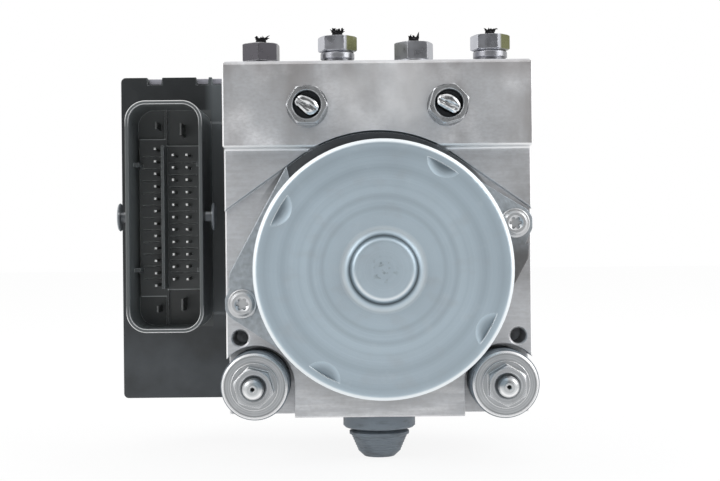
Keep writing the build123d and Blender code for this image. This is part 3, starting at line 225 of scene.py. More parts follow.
    def done(self, bump=1.0, distance=0.0002):
        self.link(self.colour, self.shader.inputs["Base Color"])
        if self.roughness is not None:
            self.link(self.roughness, self.shader.inputs["Roughness"])
        if self.rounded is not None and self.height is None:
            self.link(self.rounded, self.shader.inputs["Normal"])
        if self.height is not None:
            node = self.add("ShaderNodeBump")
            node.inputs["Strength"].default_value = bump
            node.inputs["Distance"].default_value = distance
            self.link(self.height, node.inputs["Height"])
            if self.rounded is not None:
                self.link(self.rounded, node.inputs["Normal"])
            self.link(node.outputs[0], self.shader.inputs["Normal"])
        return self.material


def dress(node, material):
    slots = NODES[node].data.materials
    slots.clear()
    slots.append(material)


# ------------------------------------------------------------------ materials
def milled_aluminium():
    m = Material("milled_aluminium", (0.73, 0.745, 0.77), metallic=1.0, roughness=0.42)
    m.round_edges(0.3 * MM)
    band = m.along("Y", -19.0 * MM, -19.9 * MM)
    m.tint(m.noise(26, 5, stretch=(1, 1, 0.7)), (0.50, 0.50, 0.51), 0.5)
    smudges = m.noise(48, 6, stretch=(1.5, 1, 0.45), low=0.44, high=0.62)
    m.tint(m.both(band, smudges), (0.38, 0.36, 0.355), 0.6)
    swirls = m.noise(58, 6, low=0.46, high=0.64, turn=(0.3, 0.8, 0.2))
    m.tint(m.both(band, swirls), (0.97, 0.97, 0.99), 0.75)
    top_dirt = m.both(band, m.along("Z", 103.0 * MM, 109.0 * MM), m.noise(75, 4, low=0.42, high=0.6))
    m.tint(top_dirt, (0.33, 0.30, 0.30), 0.6)
    right_dirt = m.both(band, m.along("X", 34.0 * MM, 46.0 * MM), m.noise(60, 5, low=0.3, high=0.6))
    m.tint(right_dirt, (0.33, 0.31, 0.30), 0.6)
    m.tint(m.noise(300, 4, low=0.45, high=0.75), (0.54, 0.54, 0.55), 0.3)
    brushed = m.noise(900, 3, stretch=(0.08, 1, 1.0), low=0.35, high=0.65)
    m.tint(m.both(brushed, m.along("Z", 84.0 * MM, 83.0 * MM)), (0.48, 0.48, 0.49), 0.3)
    crossed = m.noise(500, 3, stretch=(0.12, 1, 1.0), turn=(0, -0.8, 0), low=0.5, high=0.7)
    m.tint(m.both(crossed, m.along("Z", 24.0 * MM, 16.0 * MM)), (0.95, 0.95, 0.96), 0.5)
    scratches = m.noise(420, 2, stretch=(0.1, 1, 1.4), turn=(0, 0.9, 0), low=0.62, high=0.72)
    m.tint(m.both(scratches, m.along("Z", 84.0 * MM, 83.0 * MM)), (0.88, 0.88, 0.9), 0.25)
    m.tint(m.noise(1300, 4, stretch=(0.6, 1, 1), low=0.4, high=0.65), (0.50, 0.49, 0.49), 0.28)
    glare = m.near((3.0 * MM, 93.0 * MM), ("X", "Z"), 24.0 * MM, 6.0 * MM)
    middle = m.both(band, glare, m.noise(70, 5, low=0.3, high=0.6))
    m.tint(middle, (0.99, 0.99, 1.0), 0.8)
    # painted shade to the right of the motor and under it
    beside_motor = m.both(m.along("Z", 84.0 * MM, 72.0 * MM), m.along("Z", 34.0 * MM, 44.0 * MM))
    right = m.both(m.along("X", 38.0 * MM, 45.0 * MM), beside_motor)
    m.tint(m.both(right, m.noise(90, 4, low=0.2, high=0.6)), (0.30, 0.29, 0.29), 0.75)
    low = m.both(m.near((0.0, MOTOR_Z), ("X", "Z"), 47.0 * MM, 38.0 * MM), m.along("Z", 36.0 * MM, 20.0 * MM))
    m.tint(low, (0.22, 0.215, 0.21), 0.55)
    # painted shade in the milled recess over the motor and on its arc wall; the tapped holes are clean
    radius = m.axis_radius((0.0, MOTOR_Z))
    upper = m.along("Z", 66.0 * MM, 78.0 * MM)
    recess = m.both(m.ramp(radius, 43.0 * MM, 37.5 * MM), m.along("Y", -16.0 * MM, -14.0 * MM), upper)
    m.tint(recess, (0.09, 0.10, 0.11), 0.85)
    arc_wall = m.both(m.ramp(radius, 42.1 * MM, 41.7 * MM), m.along("Y", -19.9 * MM, -19.5 * MM), upper)
    m.tint(arc_wall, (0.10, 0.105, 0.11), 0.8)
    for x in (-TAPPED_X, TAPPED_X):
        bore = m.near((x, TAPPED_Z), ("X", "Z"), 2.55 * MM, 2.40 * MM)
        m.tint(m.both(bore, m.along("Y", -13.3 * MM, -11.5 * MM)), (0.62, 0.63, 0.64), 0.9)
    # painted highlights along every edge, along the band's step and on the sides
    m.tint(m.edges(0.985, 0.9), (0.97, 0.97, 0.98), 0.85)
    step = m.both(m.along("Z", 82.2 * MM, 82.6 * MM), m.along("Z", 84.4 * MM, 84.1 * MM))
    m.tint(m.both(step, m.facing("Y", 0.97, 0.9)), (1.0, 1.0, 1.0), 0.95)
    side = m.ramp(m.math("ABSOLUTE", m.place("X")), 47.0 * MM, 47.15 * MM)
    m.tint(m.both(side, m.facing("Y", 0.3, 0.5)), (1.0, 1.0, 1.0), 0.9)
    m.roughen(m.noise(45, 4), 0.14)
    m.raise_by(brushed, 0.5)
    m.raise_by(m.noise(2200, 2), 0.3)
    return m.done(0.3, 0.00006)


def zinc_can():
    m = Material("zinc_can", (0.50, 0.60, 0.67), metallic=0.9, roughness=0.46)
    m.round_edges(0.25 * MM)
    radius = m.axis_radius((0.0, MOTOR_Z))
    m.tint(m.rings(radius, 170, 2.0), (0.40, 0.485, 0.55), 0.55)
    fine = m.rings(radius, 1500, 2.0)
    m.tint(fine, (0.55, 0.635, 0.70), 0.25)
    # painted shade in bands across the can's end
    for middle, half, depth in DISC_SHADE_BANDS:
        m.tint(m.ring(radius, middle * MM, half * MM), (0.28, 0.34, 0.39), depth)
    m.tint(m.noise(40, 5), (0.41, 0.48, 0.53), 0.3)
    m.tint(m.noise(150, 5, stretch=(1, 1, 1.4), low=0.55, high=0.8), (0.40, 0.43, 0.46), 0.35)
    m.tint(m.noise(240, 4, low=0.6, high=0.8), (0.60, 0.66, 0.70), 0.25)
    # painted shade in a ring round the boss, and painted highlights on the ring outside it, on the boss's lower half
    # and on the drawn rim
    m.tint(m.ring(radius, 9.0 * MM, 0.9 * MM), (0.05, 0.06, 0.065), 0.9)
    m.tint(m.ring(radius, 10.9 * MM, 1.0 * MM), (0.74, 0.80, 0.83), 0.55)
    m.tint(m.both(m.ring(radius, 7.7 * MM, 0.6 * MM), m.along("Z", 47.0 * MM, 43.0 * MM)), (0.95, 0.97, 0.98), 0.6)
    m.tint(m.both(m.ramp(radius, 4.0 * MM, 2.0 * MM), m.noise(700, 3, low=0.55, high=0.65)), (0.22, 0.26, 0.28), 0.6)
    front = m.along("Y", -74.0 * MM, -74.8 * MM)
    m.tint(m.both(front, m.ramp(radius, 33.4 * MM, 33.9 * MM)), (0.90, 0.94, 0.96), 0.9)
    # dimples: painted shade on their floor, and painted highlights along the edges of the can's end, which outline
    # them
    near_rim = m.both(m.ramp(radius, 32.4 * MM, 31.9 * MM), m.ramp(radius, 24.0 * MM, 25.0 * MM))
    dimple = m.both(m.along("Y", -75.9 * MM, -75.3 * MM), near_rim)
    m.tint(dimple, (0.20, 0.24, 0.27), 0.6)
    m.tint(m.both(m.edges(0.992, 0.95), m.along("Y", -72.0 * MM, -74.0 * MM)), (0.90, 0.95, 0.97), 0.75)
    # the flange is duller than the drawn can; painted shade lies on it beside the can and where the can meets it
    flange = m.along("Y", -17.4 * MM, -16.3 * MM)
    m.tint(flange, (0.50, 0.53, 0.56), 0.85)
    m.tint(m.both(flange, m.noise(700, 4)), (0.28, 0.30, 0.31), 0.6)
    painted_shading = m.both(flange, m.along("X", 30.0 * MM, 36.0 * MM), m.along("Z", 60.0 * MM, 50.0 * MM))
    m.tint(painted_shading, (0.10, 0.09, 0.085), 0.8)
    root = m.both(m.along("Y", -30.0 * MM, -16.0 * MM), m.ramp(radius, 36.5 * MM, 34.8 * MM))
    m.tint(root, (0.07, 0.08, 0.085), 0.5)
    # painted highlights along the flange's edges
    m.tint(m.both(m.edges(), flange), (0.80, 0.85, 0.95), 0.7)
    m.roughen(m.noise(60, 4), 0.12)
    m.raise_by(fine, 0.5)
    m.raise_by(m.noise(1800, 3), 0.4)
    return m.done(0.25, 0.00006)


def black_plastic():
    m = Material("black_plastic", (0.012, 0.015, 0.017), roughness=0.30, specular=0.7)
    m.round_edges(0.22 * MM)
    m.tint(m.noise(60, 4), (0.017, 0.020, 0.023), 0.5)
    # painted sheen, lighter and bluish towards the bottom, and painted light on the side that faces the block
    low = m.along("Z", 48.0 * MM, 14.0 * MM)
    m.tint(m.both(low, m.noise(70, 5, low=0.2, high=0.7)), (0.09, 0.105, 0.12), 0.62)
    beside_block = m.both(m.along("X", -57.5 * MM, -54.5 * MM), m.along("Y", 10.0 * MM, 16.0 * MM),
                          m.along("Z", 25.0 * MM, 31.0 * MM))
    m.tint(beside_block, (0.14, 0.16, 0.17), 0.7)
    # lighter inside the socket, with painted light on its inner walls, and the pale trunnions for the plug's lever on
    # its sides
    beside = m.math("ABSOLUTE", m.math("SUBTRACT", m.place("X"), SHROUD_X))
    above = m.math("ABSOLUTE", m.math("SUBTRACT", m.place("Z"), SHROUD_Z))
    inside = m.both(m.ramp(beside, 12.25 * MM, 11.9 * MM), m.ramp(above, 36.65 * MM, 36.3 * MM))
    m.tint(inside, (0.092, 0.102, 0.104), 0.85)
    m.tint(m.both(inside, m.facing("Y", 0.6, 0.2)), (0.14, 0.155, 0.16), 0.7)
    trunnion = m.both(m.ramp(beside, 12.3 * MM, 12.6 * MM), m.along("Y", 16.0 * MM, 12.0 * MM))
    m.tint(m.both(trunnion, m.ramp(above, 4.8 * MM, 4.5 * MM)), (0.30, 0.33, 0.36), 0.7)
    # painted highlight along the trunnions' shafts
    shaft_highlight = m.both(m.ramp(beside, 15.0 * MM, 14.8 * MM), m.ring(m.place("Z"), SHROUD_Z + 1.1 * MM, 0.6 * MM))
    m.tint(m.both(trunnion, shaft_highlight), (0.95, 0.97, 1.0), 0.8)
    # painted highlights along the ends of the two islands, which carry the contacts
    for middle, width, length in ((-6.1, 8.6, 51.6), (3.8, 11.0, 47.2)):
        low_x, high_x = SHROUD_X + (middle - width / 2) * MM, SHROUD_X + (middle + width / 2) * MM
        island_end_highlight = m.ring(above, length / 2 * MM, 0.28 * MM)
        on_island = m.both(m.along("X", low_x, low_x + 0.2 * MM), m.along("X", high_x, high_x - 0.2 * MM))
        m.tint(m.both(island_end_highlight, on_island), (0.9, 0.95, 0.95), 0.85)
    # painted highlights along every edge, brightest inside the socket
    painted_shading = m.edges()
    m.tint(painted_shading, (0.42, 0.46, 0.48), 0.75)
    m.tint(m.both(painted_shading, inside), (0.9, 0.95, 0.95), 0.8)
    # two painted highlight lines round the rim, strongest at its ends
    out_x = m.math("ADD", beside, -(12.2 - 6.5) * MM)
    out_z = m.math("ADD", above, -(36.6 - 6.5) * MM)
    corner_x, corner_z = m.math("MAXIMUM", out_x, 0.0), m.math("MAXIMUM", out_z, 0.0)
    squares = [m.math("MULTIPLY", part, part) for part in (corner_x, corner_z)]
    corner = m.math("SQRT", m.math("ADD", *squares))
    contour = m.math("ADD", corner, m.math("MINIMUM", m.math("MAXIMUM", out_x, out_z), 0.0))
    rim = m.along("Y", -6.9 * MM, -7.4 * MM)
    ends = m.math("ADD", m.math("MULTIPLY", m.ramp(above, 28.0 * MM, 32.0 * MM), 0.94), 0.06)
    for line, half in ((6.5 - 0.15, 0.22), (6.5 - 1.1, 0.16)):
        m.tint(m.both(m.ring(contour, line * MM, half * MM), rim, ends), (1.0, 1.0, 1.0), 0.8)
    m.roughen(m.noise(120, 4), 0.12)
    m.raise_by(m.noise(5200, 2), 0.5)
    m.raise_by(m.noise(900, 3), 0.5)
    return m.done(0.3, 0.00004)


def grey_plastic():
    m = Material("grey_plastic", (0.42, 0.42, 0.47), roughness=0.48)
    m.round_edges(0.3 * MM)
    m.tint(m.noise(45, 4), (0.36, 0.36, 0.41), 0.6)
    m.tint(m.noise(160, 5, stretch=(1, 1, 0.6), low=0.55, high=0.75), (0.31, 0.31, 0.35), 0.35)
    # painted highlights along the edges
    m.tint(m.edges(), (0.62, 0.62, 0.66), 0.6)
    m.roughen(m.noise(90, 4), 0.12)
    m.raise_by(m.noise(4200, 2), 0.5)
    return m.done(0.3, 0.00005)


def rubber():
    m = Material("rubber", (0.20, 0.235, 0.27), roughness=0.5)
    m.round_edges(0.2 * MM)
    m.tint(m.noise(150, 4), (0.21, 0.235, 0.26), 0.6)
    # painted highlights along the edges
    m.tint(m.edges(), (0.4, 0.42, 0.44), 0.5)
    m.tint(m.noise(420, 5, stretch=(0.4, 0.4, 1.6), low=0.5, high=0.7), (0.05, 0.055, 0.06), 0.6)
    m.roughen(m.noise(300, 3), 0.15)
    m.raise_by(m.noise(3500, 3), 1.0)
    return m.done(0.4, 0.00006)


def metal(name, colour, dark, light, roughness=0.3, edge=0.2):
    """Plated or ground steel with painted highlights along its edges."""
    m = Material(name, colour, metallic=1.0, roughness=roughness)
    m.round_edges(edge * MM)
    m.tint(m.noise(160, 4, low=0.35, high=0.8), dark, 0.45)
    m.tint(m.noise(420, 3, low=0.5, high=0.85), light, 0.25)
    # painted highlights along the edges
    m.tint(m.edges(), (0.97, 0.97, 0.97), 0.7)
    m.roughen(m.noise(300, 4), 0.12)
    m.raise_by(m.noise(2600, 3), 0.15)
    return m


def plated_steel(name, colour, dark, light, roughness=0.3):
    return metal(name, colour, dark, light, roughness).done(0.3, 0.00005)


def port_nut():
    """Front pipe nuts: bright faces round a mouth with painted shade, and a painted dark line at the collar's edge.
    """
    m = metal("port_nut", (0.60, 0.615, 0.63), (0.36, 0.37, 0.39), (0.85, 0.86, 0.86), 0.24, 0.22)
    for x in (-MASTER_X, MASTER_X):
        radius = m.axis_radius((x, MASTER_Z))
        mouth = m.both(m.ramp(radius, 4.6 * MM, 4.3 * MM), m.along("Y", -26.5 * MM, -26.1 * MM))
        # painted shade in the mouth, and a painted dark line at the collar's edge
        m.tint(mouth, (0.035, 0.04, 0.045), 0.95)
        collar_edge = m.both(m.ramp(radius, 6.0 * MM, 6.3 * MM), m.along("Y", -21.6 * MM, -21.0 * MM))
        m.tint(collar_edge, (0.30, 0.31, 0.33), 0.6)
    return m.done(0.3, 0.00005)


def pinched_pipe():
    """Bright lips of the pinched pipes on a neck with painted shade."""
    m = metal("pinched_pipe", (0.84, 0.85, 0.86), (0.34, 0.36, 0.38), (0.97, 0.97, 0.97), 0.14, 0.3)
    m.tint(m.noise(420, 3, low=0.5, high=0.62), (0.20, 0.22, 0.23), 0.6)
    # painted shade on the neck, deep in the nut's mouth
    m.tint(m.along("Y", -26.1 * MM, -25.2 * MM), (0.03, 0.035, 0.04), 0.95)
    return m.done(0.2, 0.00005)


def short_nut():
    """Darkened nuts with painted highlights on their edges; painted shade makes the outer one's side faces nearly
    black.
    """
    m = metal("short_nut", (0.42, 0.43, 0.46), (0.30, 0.31, 0.33), (0.5, 0.51, 0.54), 0.24, 0.25)
    # painted shade on the side faces of the outer nut
    outer = m.along("X", -25.0 * MM, -27.0 * MM)
    m.tint(m.both(outer, m.facing("Z", 0.8, 0.4)), (0.06, 0.056, 0.063), 0.93)
    # painted highlights along the edges
    m.tint(m.edges(0.95, 0.8), (0.97, 0.97, 0.97), 0.85)
    return m.done(0.3, 0.00005)


def turned_steel():
    """Washers and nuts on the studs: turned rings, a painted highlight on the rim with painted shade inside it,
    painted shade round the stud and painted highlights on the edges.
    """
    m = metal("turned_steel", (0.62, 0.635, 0.65), (0.42, 0.44, 0.46), (0.74, 0.75, 0.76), 0.3, 0.36)
    for x in (-STUD_X, STUD_X):
        radius = m.axis_radius((x, STUD_Z))
        near = m.ramp(radius, 14.0 * MM, 13.0 * MM)
        turned = m.rings(radius, 1400, 3.0)
        m.tint(m.both(near, turned), (0.26, 0.275, 0.29), 0.6)
        m.raise_by(m.both(near, turned), 0.8)
        # painted highlight on the rim, painted shade inside it and in the countersink round the stud
        m.tint(m.ring(radius, 9.9 * MM, 0.45 * MM), (0.97, 0.97, 0.98), 0.95)
        m.tint(m.ring(radius, 9.1 * MM, 0.35 * MM), (0.20, 0.21, 0.22), 0.7)
        m.tint(m.ring(radius, 3.6 * MM, 0.4 * MM), (0.30, 0.31, 0.32), 0.4)
    # painted highlights along the edges
    m.tint(m.edges(0.99, 0.94), (1.0, 1.0, 1.0), 0.95)
    return m.done(0.3, 0.00005)


def stud_steel():
    """Stud ends: a small dome with painted shade in its centre mark and in a ring round it, in a rim with painted
    shade above and a painted highlight below.
    """
    m = metal("stud_steel", (0.66, 0.68, 0.69), (0.44, 0.45, 0.46), (0.85, 0.85, 0.85), 0.26, 0.2)
    for x in (-STUD_X, STUD_X):
        radius = m.axis_radius((x, STUD_Z))
        near = m.ramp(radius, 5.0 * MM, 4.5 * MM)
        # painted shade on the rim's upper half, a painted highlight on its lower half, and painted shade on the dome
        upper = m.along("Z", STUD_Z - 1.0 * MM, STUD_Z + 1.0 * MM)
        m.tint(m.both(near, m.ramp(radius, 1.8 * MM, 2.3 * MM), upper), (0.36, 0.37, 0.38), 0.6)
        lower = m.both(m.ring(radius, 2.6 * MM, 0.6 * MM), m.along("Z", STUD_Z, STUD_Z - 1.5 * MM))
        m.tint(lower, (1.0, 1.0, 1.0), 0.95)
        m.tint(m.ring(radius, 1.5 * MM, 0.4 * MM), (0.30, 0.32, 0.33), 0.5)
        m.tint(m.ramp(radius, 0.75 * MM, 0.45 * MM), (0.03, 0.035, 0.035), 0.9)
    return m.done(0.2, 0.00005)


def yellow_steel():
    """Worn yellow plating that is left on one side of the long nuts' hexagons."""
    m = metal("yellow_steel", (0.52, 0.53, 0.57), (0.40, 0.41, 0.45), (0.62, 0.63, 0.67), 0.22, 0.25)
    for x in (WHEEL_X[1], WHEEL_X[3]):
        side = m.both(m.along("X", x + 2.6 * MM, x + 3.2 * MM), m.along("X", x + 9.0 * MM, x + 8.0 * MM),
                      m.along("Z", BLOCK_TOP + 5.0 * MM, BLOCK_TOP + 5.6 * MM))
        m.tint(m.both(side, m.noise(500, 3, low=0.0, high=0.35)), (0.135, 0.14, 0.05), 0.93)
        # painted shade on both sides of the collar, which leaves a painted highlight in the middle of its bulge, and
        # painted shade in its grooves
        collar = m.both(m.along("Z", BLOCK_TOP + 5.3 * MM, BLOCK_TOP + 5.0 * MM),
                        m.near((x, 0.0), ("X", "Y"), 9.0 * MM, 8.0 * MM))
        m.tint(m.both(collar, m.along("X", x - 0.5 * MM, x - 3.5 * MM)), (0.20, 0.20, 0.22), 0.75)
        m.tint(m.both(collar, m.along("X", x + 1.5 * MM, x + 4.0 * MM)), (0.20, 0.20, 0.20), 0.75)
        for height in (0.25, 2.45, 4.9):
            groove = m.ring(m.place("Z"), BLOCK_TOP + height * MM, 0.4 * MM)
            m.tint(m.both(collar, groove), (0.06, 0.06, 0.065), 0.85)
    return m.done(0.25, 0.00005)


def contact_metal():
    """Dark tinned contacts: the pins' tips carry a painted highlight, and the blades beyond them stay dark."""
    m = Material("tinned_contacts", (0.028, 0.031, 0.031), roughness=0.25)
    m.round_edges(0.15 * MM)
    m.tint(m.noise(900, 3), (0.06, 0.065, 0.065), 0.6)
    tip = m.along("Y", 2.3 * MM, 1.5 * MM)
    off_middle = m.math("ABSOLUTE", m.math("SUBTRACT", m.place("Z"), SHROUD_Z))
    # painted highlight on the pins' tips, kept off the blades
    m.tint(tip, (1.0, 1.0, 0.98), 0.98)
    m.tint(m.both(tip, m.ramp(off_middle, 24.5 * MM, 25.0 * MM)), (0.09, 0.097, 0.097), 0.9)
    m.roughen(m.noise(900, 3), 0.1)
    return m.done()


def burnt_pipe():
    """Black crust on the cut pipe ends, flecked with grey ash."""
    m = Material("burnt_pipe", (0.006, 0.006, 0.007), roughness=0.7, specular=0.2)
    m.tint(m.noise(1500, 4, low=0.58, high=0.75), (0.10, 0.095, 0.105), 0.7)
    m.roughen(m.noise(900, 3), 0.2)
    m.raise_by(m.noise(1800, 4), 1.0)
    return m.done(0.6, 0.0001)


def copper():
    m = Material("copper_wire", (0.62, 0.26, 0.10), metallic=0.6, roughness=0.4)
    turns = m.noise(2400, 1, stretch=(0.05, 1, 0.05))
    m.tint(turns, (0.32, 0.11, 0.04), 0.6)
    m.raise_by(turns, 1.0)
    return m.done(0.6, 0.0001)


def plain_moulding(name, colour, dark):
    m = Material(name, colour, roughness=0.5)
    m.tint(m.noise(120, 4), dark, 0.5)
    m.raise_by(m.noise(3000, 3), 0.6)
    return m.done(0.3, 0.00005)


MATERIALS = {
    "milled_aluminium": milled_aluminium(),
    "zinc_can": zinc_can(),
    "black_plastic": black_plastic(),
    "grey_plastic": grey_plastic(),
    "rubber": rubber(),
    "plated_steel": plated_steel("plated_steel", (0.62, 0.63, 0.64), (0.42, 0.43, 0.44), (0.8, 0.8, 0.78)),
    "dark_steel": plated_steel("dark_steel", (0.38, 0.39, 0.41), (0.24, 0.25, 0.26), (0.5, 0.51, 0.52), 0.22),
    "yellow_steel": yellow_steel(),
    "bright_steel": plated_steel("bright_steel", (0.80, 0.81, 0.82), (0.5, 0.5, 0.52), (0.95, 0.95, 0.95), 0.16),
    "steel": plated_steel("ground_steel", (0.5, 0.5, 0.5), (0.38, 0.38, 0.38), (0.62, 0.62, 0.62), 0.28),
    "tinned_contacts": contact_metal(),
    "copper": copper(),
    "ferrite": plain_moulding("ferrite", (0.10, 0.10, 0.11), (0.06, 0.06, 0.065)),
    "carbon": plain_moulding("carbon", (0.04, 0.04, 0.042), (0.02, 0.02, 0.02)),
    "board_green": plain_moulding("board_green", (0.03, 0.18, 0.08), (0.02, 0.12, 0.05)),
    "brown_plastic": plain_moulding("brown_plastic", (0.16, 0.09, 0.05), (0.10, 0.05, 0.03)),
}
for entry in frame["record"]["subparts"]:
    dress(entry["node"], MATERIALS[entry["material_slot"]])
TURNED = turned_steel()
BURNT = burnt_pipe()
dress("mounting_washers", TURNED)
dress("mounting_nuts", TURNED)
dress("mounting_studs", stud_steel())
dress("master_pipe_nuts", port_nut())
PINCHED = pinched_pipe()
dress("master_pipe_stubs", PINCHED)
dress("wheel_nuts_short", short_nut())
dress("wheel_pipe_stubs", BURNT)


# ------------------------------------------------------------------ pieces that the scene adds
def piece(name, mesh, material, body):
    """Puts a finished bmesh into the scene as a piece that rides on a body."""
    data = bpy.data.meshes.new(name)
    mesh.to_mesh(data)
    mesh.free()
    thing = bpy.data.objects.new(name, data)
    bpy.context.scene.collection.objects.link(thing)
    data.materials.append(material)
    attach(thing, body)
    return thing


def add_torn_pipe(mesh, draw, x, nut_top, turn, height, burrs):
    """One pipe: flare in the port, neck in the nut's mouth, and a flattened end with a torn, burnt rim."""
    steps = 40
    block_top = BLOCK_TOP / MM
    profile = (          # height, half width and half thickness in millimetres, and how ragged
        (block_top - 13.6, 2.4, 2.4, 0.0), (block_top - 12.3, 4.2, 4.2, 0.0), (block_top - 11.0, 4.2, 4.2, 0.0),
        (block_top - 10.9, 2.4, 2.4, 0.0), (nut_top - 3.4, 2.4, 2.4, 0.0), (nut_top - 1.0, 2.1, 1.7, 0.0),
        (nut_top + 0.1, 1.8, 1.2, 0.0), (nut_top + 1.5, 1.6, 1.0, 0.06))
    outer, inner = [], []
    for z, wide, thick, rough in profile:
        outer.append([ring_vertex(mesh, k / steps, wide, thick, z, rough, draw) for k in range(steps)])
    teeth = [draw.random() ** 1.6 for _ in range(steps)]
    for share, grow in ((0.35, 1.03), (0.7, 1.08), (1.0, 1.12)):
        rise = [nut_top + 1.5 + (height - 1.5) * share * (0.2 + 0.8 * tooth) for tooth in teeth]
        outer.append([ring_vertex(mesh, k / steps, 1.55 * grow, 0.95 * grow, rise[k], 0.10, draw)
                      for k in range(steps)])
        inner.append([ring_vertex(mesh, k / steps, 1.15 * grow, 0.55 * grow, rise[k] - 0.08, 0.08, draw)
                      for k in range(steps)])
    inner.insert(0, [ring_vertex(mesh, k / steps, 1.0, 0.45, nut_top + 1.2, 0.0, draw) for k in range(steps)])
    rows = outer + inner[::-1]
    for here, ahead in zip(rows, rows[1:]):
        for i in range(steps):
            j = (i + 1) % steps
            mesh.faces.new((here[i], here[j], ahead[j], ahead[i]))
    mesh.faces.new(rows[0][::-1])
    mesh.faces.new(rows[-1])
    verts = [v for row in rows for v in row]
    for start, bend, length in burrs:
        verts += add_burr(mesh, draw, start, bend, length, nut_top + 1.6)
    place = Matrix.Translation((x, 0, 0)) @ Matrix.Rotation(math.radians(turn), 4, "Z")
    bmesh.ops.transform(mesh, matrix=place, verts=verts)


def ring_vertex(mesh, turn, wide, thick, z, rough, draw):
    """A vertex of an oval ring, pushed in or out at random by up to the share rough."""
    angle = math.tau * turn
    wobble = 1.0 + rough * draw.uniform(-1, 1)
    return mesh.verts.new((wide * wobble * math.cos(angle) * MM, thick * wobble * math.sin(angle) * MM, z * MM))


def add_burr(mesh, draw, start, bend, length, base):
    """A thin torn strip that curls up and sideways; four-sided, tapering to its tip."""
    rings = []
    steps = 7
    place = Vector((start * 1.7 * MM, draw.uniform(-0.3, 0.3) * MM, base * MM))
    heading = 0.25 * bend
    for k in range(steps + 1):
        thick = (0.34 - 0.26 * k / steps) * MM
        across = Vector((math.cos(heading), 0, -math.sin(heading)))
        corners = (across * thick, Vector((0, thick, 0)), -across * thick, Vector((0, -thick, 0)))
        rings.append([mesh.verts.new(place + corner) for corner in corners])
        place = place + Vector((math.sin(heading), 0, math.cos(heading))) * (length * MM / steps)
        heading += bend / steps * (1.0 + 0.4 * draw.uniform(-1, 1))
    for here, ahead in zip(rings, rings[1:]):
        for i in range(4):
            j = (i + 1) % 4
            mesh.faces.new((here[i], here[j], ahead[j], ahead[i]))
    mesh.faces.new(rings[0][::-1])
    mesh.faces.new(rings[-1])
    return [v for ring in rings for v in ring]


# nut top, turn, height of the torn end over it, and its burrs: place across, curl and length
CUT_PIPES = (
    (117.9, 0.0, 2.9, ((-0.85, -0.9, 1.0), (-0.2, 0.5, 1.0), (0.5, 1.6, 1.5), (0.9, 1.0, 1.9), (1.0, 1.9, 1.2))),
    (120.0, 10.0, 3.2, ((-0.9, -1.0, 1.3), (-0.5, 0.3, 1.4), (0.4, -0.8, 1.3), (0.9, 0.8, 1.4), (1.0, 1.6, 1.0))),
    (117.9, 20.0, 2.5, ((-0.7, 0.4, 1.3), (0.0, -0.5, 1.1), (0.75, 0.45, 2.3), (0.95, 0.2, 1.7))),
    (120.0, 30.0, 2.6, ((-0.9, -1.3, 1.2), (0.0, 1.2, 0.9), (0.5, 1.5, 1.5), (0.95, 1.45, 2.0), (1.1, 0.9, 1.5))),
)


def burnt_pipe_ends():
    """The four top pipes with their burnt ends, in place of the plain ones."""
    draw = random.Random(17)
    mesh = bmesh.new()
    for x, (nut_top, turn, height, burrs) in zip(WHEEL_X, CUT_PIPES):
        add_torn_pipe(mesh, draw, x, nut_top, turn, height, burrs)
    bmesh.ops.recalc_face_normals(mesh, faces=mesh.faces)
    ends = piece("burnt_pipe_ends", mesh, BURNT, "root")
    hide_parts("wheel_pipe_stubs")


burnt_pipe_ends()


def pinched_lips(name, x, turn, seed):
    """Two swollen lips of a pipe that is hammered shut, with a crooked seam between them."""
    draw = random.Random(seed)
    half_length, half_width = 3.98 * MM, 2.6 * MM
    front, shoulder, floor = -26.95 * MM, -25.3 * MM, -23.2 * MM
    neck = 2.45 * MM
    waves = [(draw.uniform(0.5, 1.6) / MM, draw.uniform(0.6, 1.8) / MM, draw.uniform(0, 6)) for _ in range(4)]
    mesh = bmesh.new()
    steps, rings = 56, 12

    def outline(angle, size):
        c, d = math.cos(angle), math.sin(angle)
        across = half_width * (1.0 + 0.10 * math.cos(3 * angle + seed))
        return (half_length * size * math.copysign(abs(c) ** 0.75, c),
                across * size * math.copysign(abs(d) ** 0.8, d))

    def depth(px, py, size):
        swell = (1.0 - size ** 4) ** 0.5 if size < 1 else 0.0
        seam = math.exp(-((py - 0.25 * MM * math.sin(px / half_length * 2.2)) / (0.28 * MM)) ** 2) * (1.0 - size ** 6)
        dents = sum(math.sin(px * a + py * b + phase) for a, b, phase in waves) / len(waves)
        lower = 0.25 * MM if py < 0 else 0.0
        return shoulder + (front - shoulder) * swell + (0.6 * seam + 0.30 * dents * swell) * MM + lower * swell

    centre = mesh.verts.new((0, depth(0, 0, 0), 0))
    rows = []
    for k in range(1, rings + 1):
        size = (k / rings) ** 0.8
        row = []
        for i in range(steps):
            px, py = outline(math.tau * i / steps, size)
            row.append(mesh.verts.new((px, depth(px, py, size), py)))
        rows.append(row)
    for y, narrow in ((-24.4 * MM, 0.96), (floor, 0.0)):
        row = []
        for i in range(steps):
            angle = math.tau * i / steps
            px, py = outline(angle, narrow) if narrow else (neck * math.cos(angle), neck * math.sin(angle))
            row.append(mesh.verts.new((px, y, py)))
        rows.append(row)
    for i in range(steps):
        mesh.faces.new((centre, rows[0][i], rows[0][(i + 1) % steps]))
    for here, ahead in zip(rows, rows[1:]):
        for i in range(steps):
            j = (i + 1) % steps
            mesh.faces.new((here[i], ahead[i], ahead[j], here[j]))
    mesh.faces.new(rows[-1])
    mesh.transform(Matrix.Translation((x, 0, MASTER_Z)) @ Matrix.Rotation(math.radians(-turn), 4, "Y"))
    bmesh.ops.recalc_face_normals(mesh, faces=mesh.faces)
    for face in mesh.faces:
        face.smooth = True
    piece(name, mesh, PINCHED, "root")


pinched_lips("pinched_lips_left", -MASTER_X, -33.0, 3)
pinched_lips("pinched_lips_right", MASTER_X, -28.0, 8)


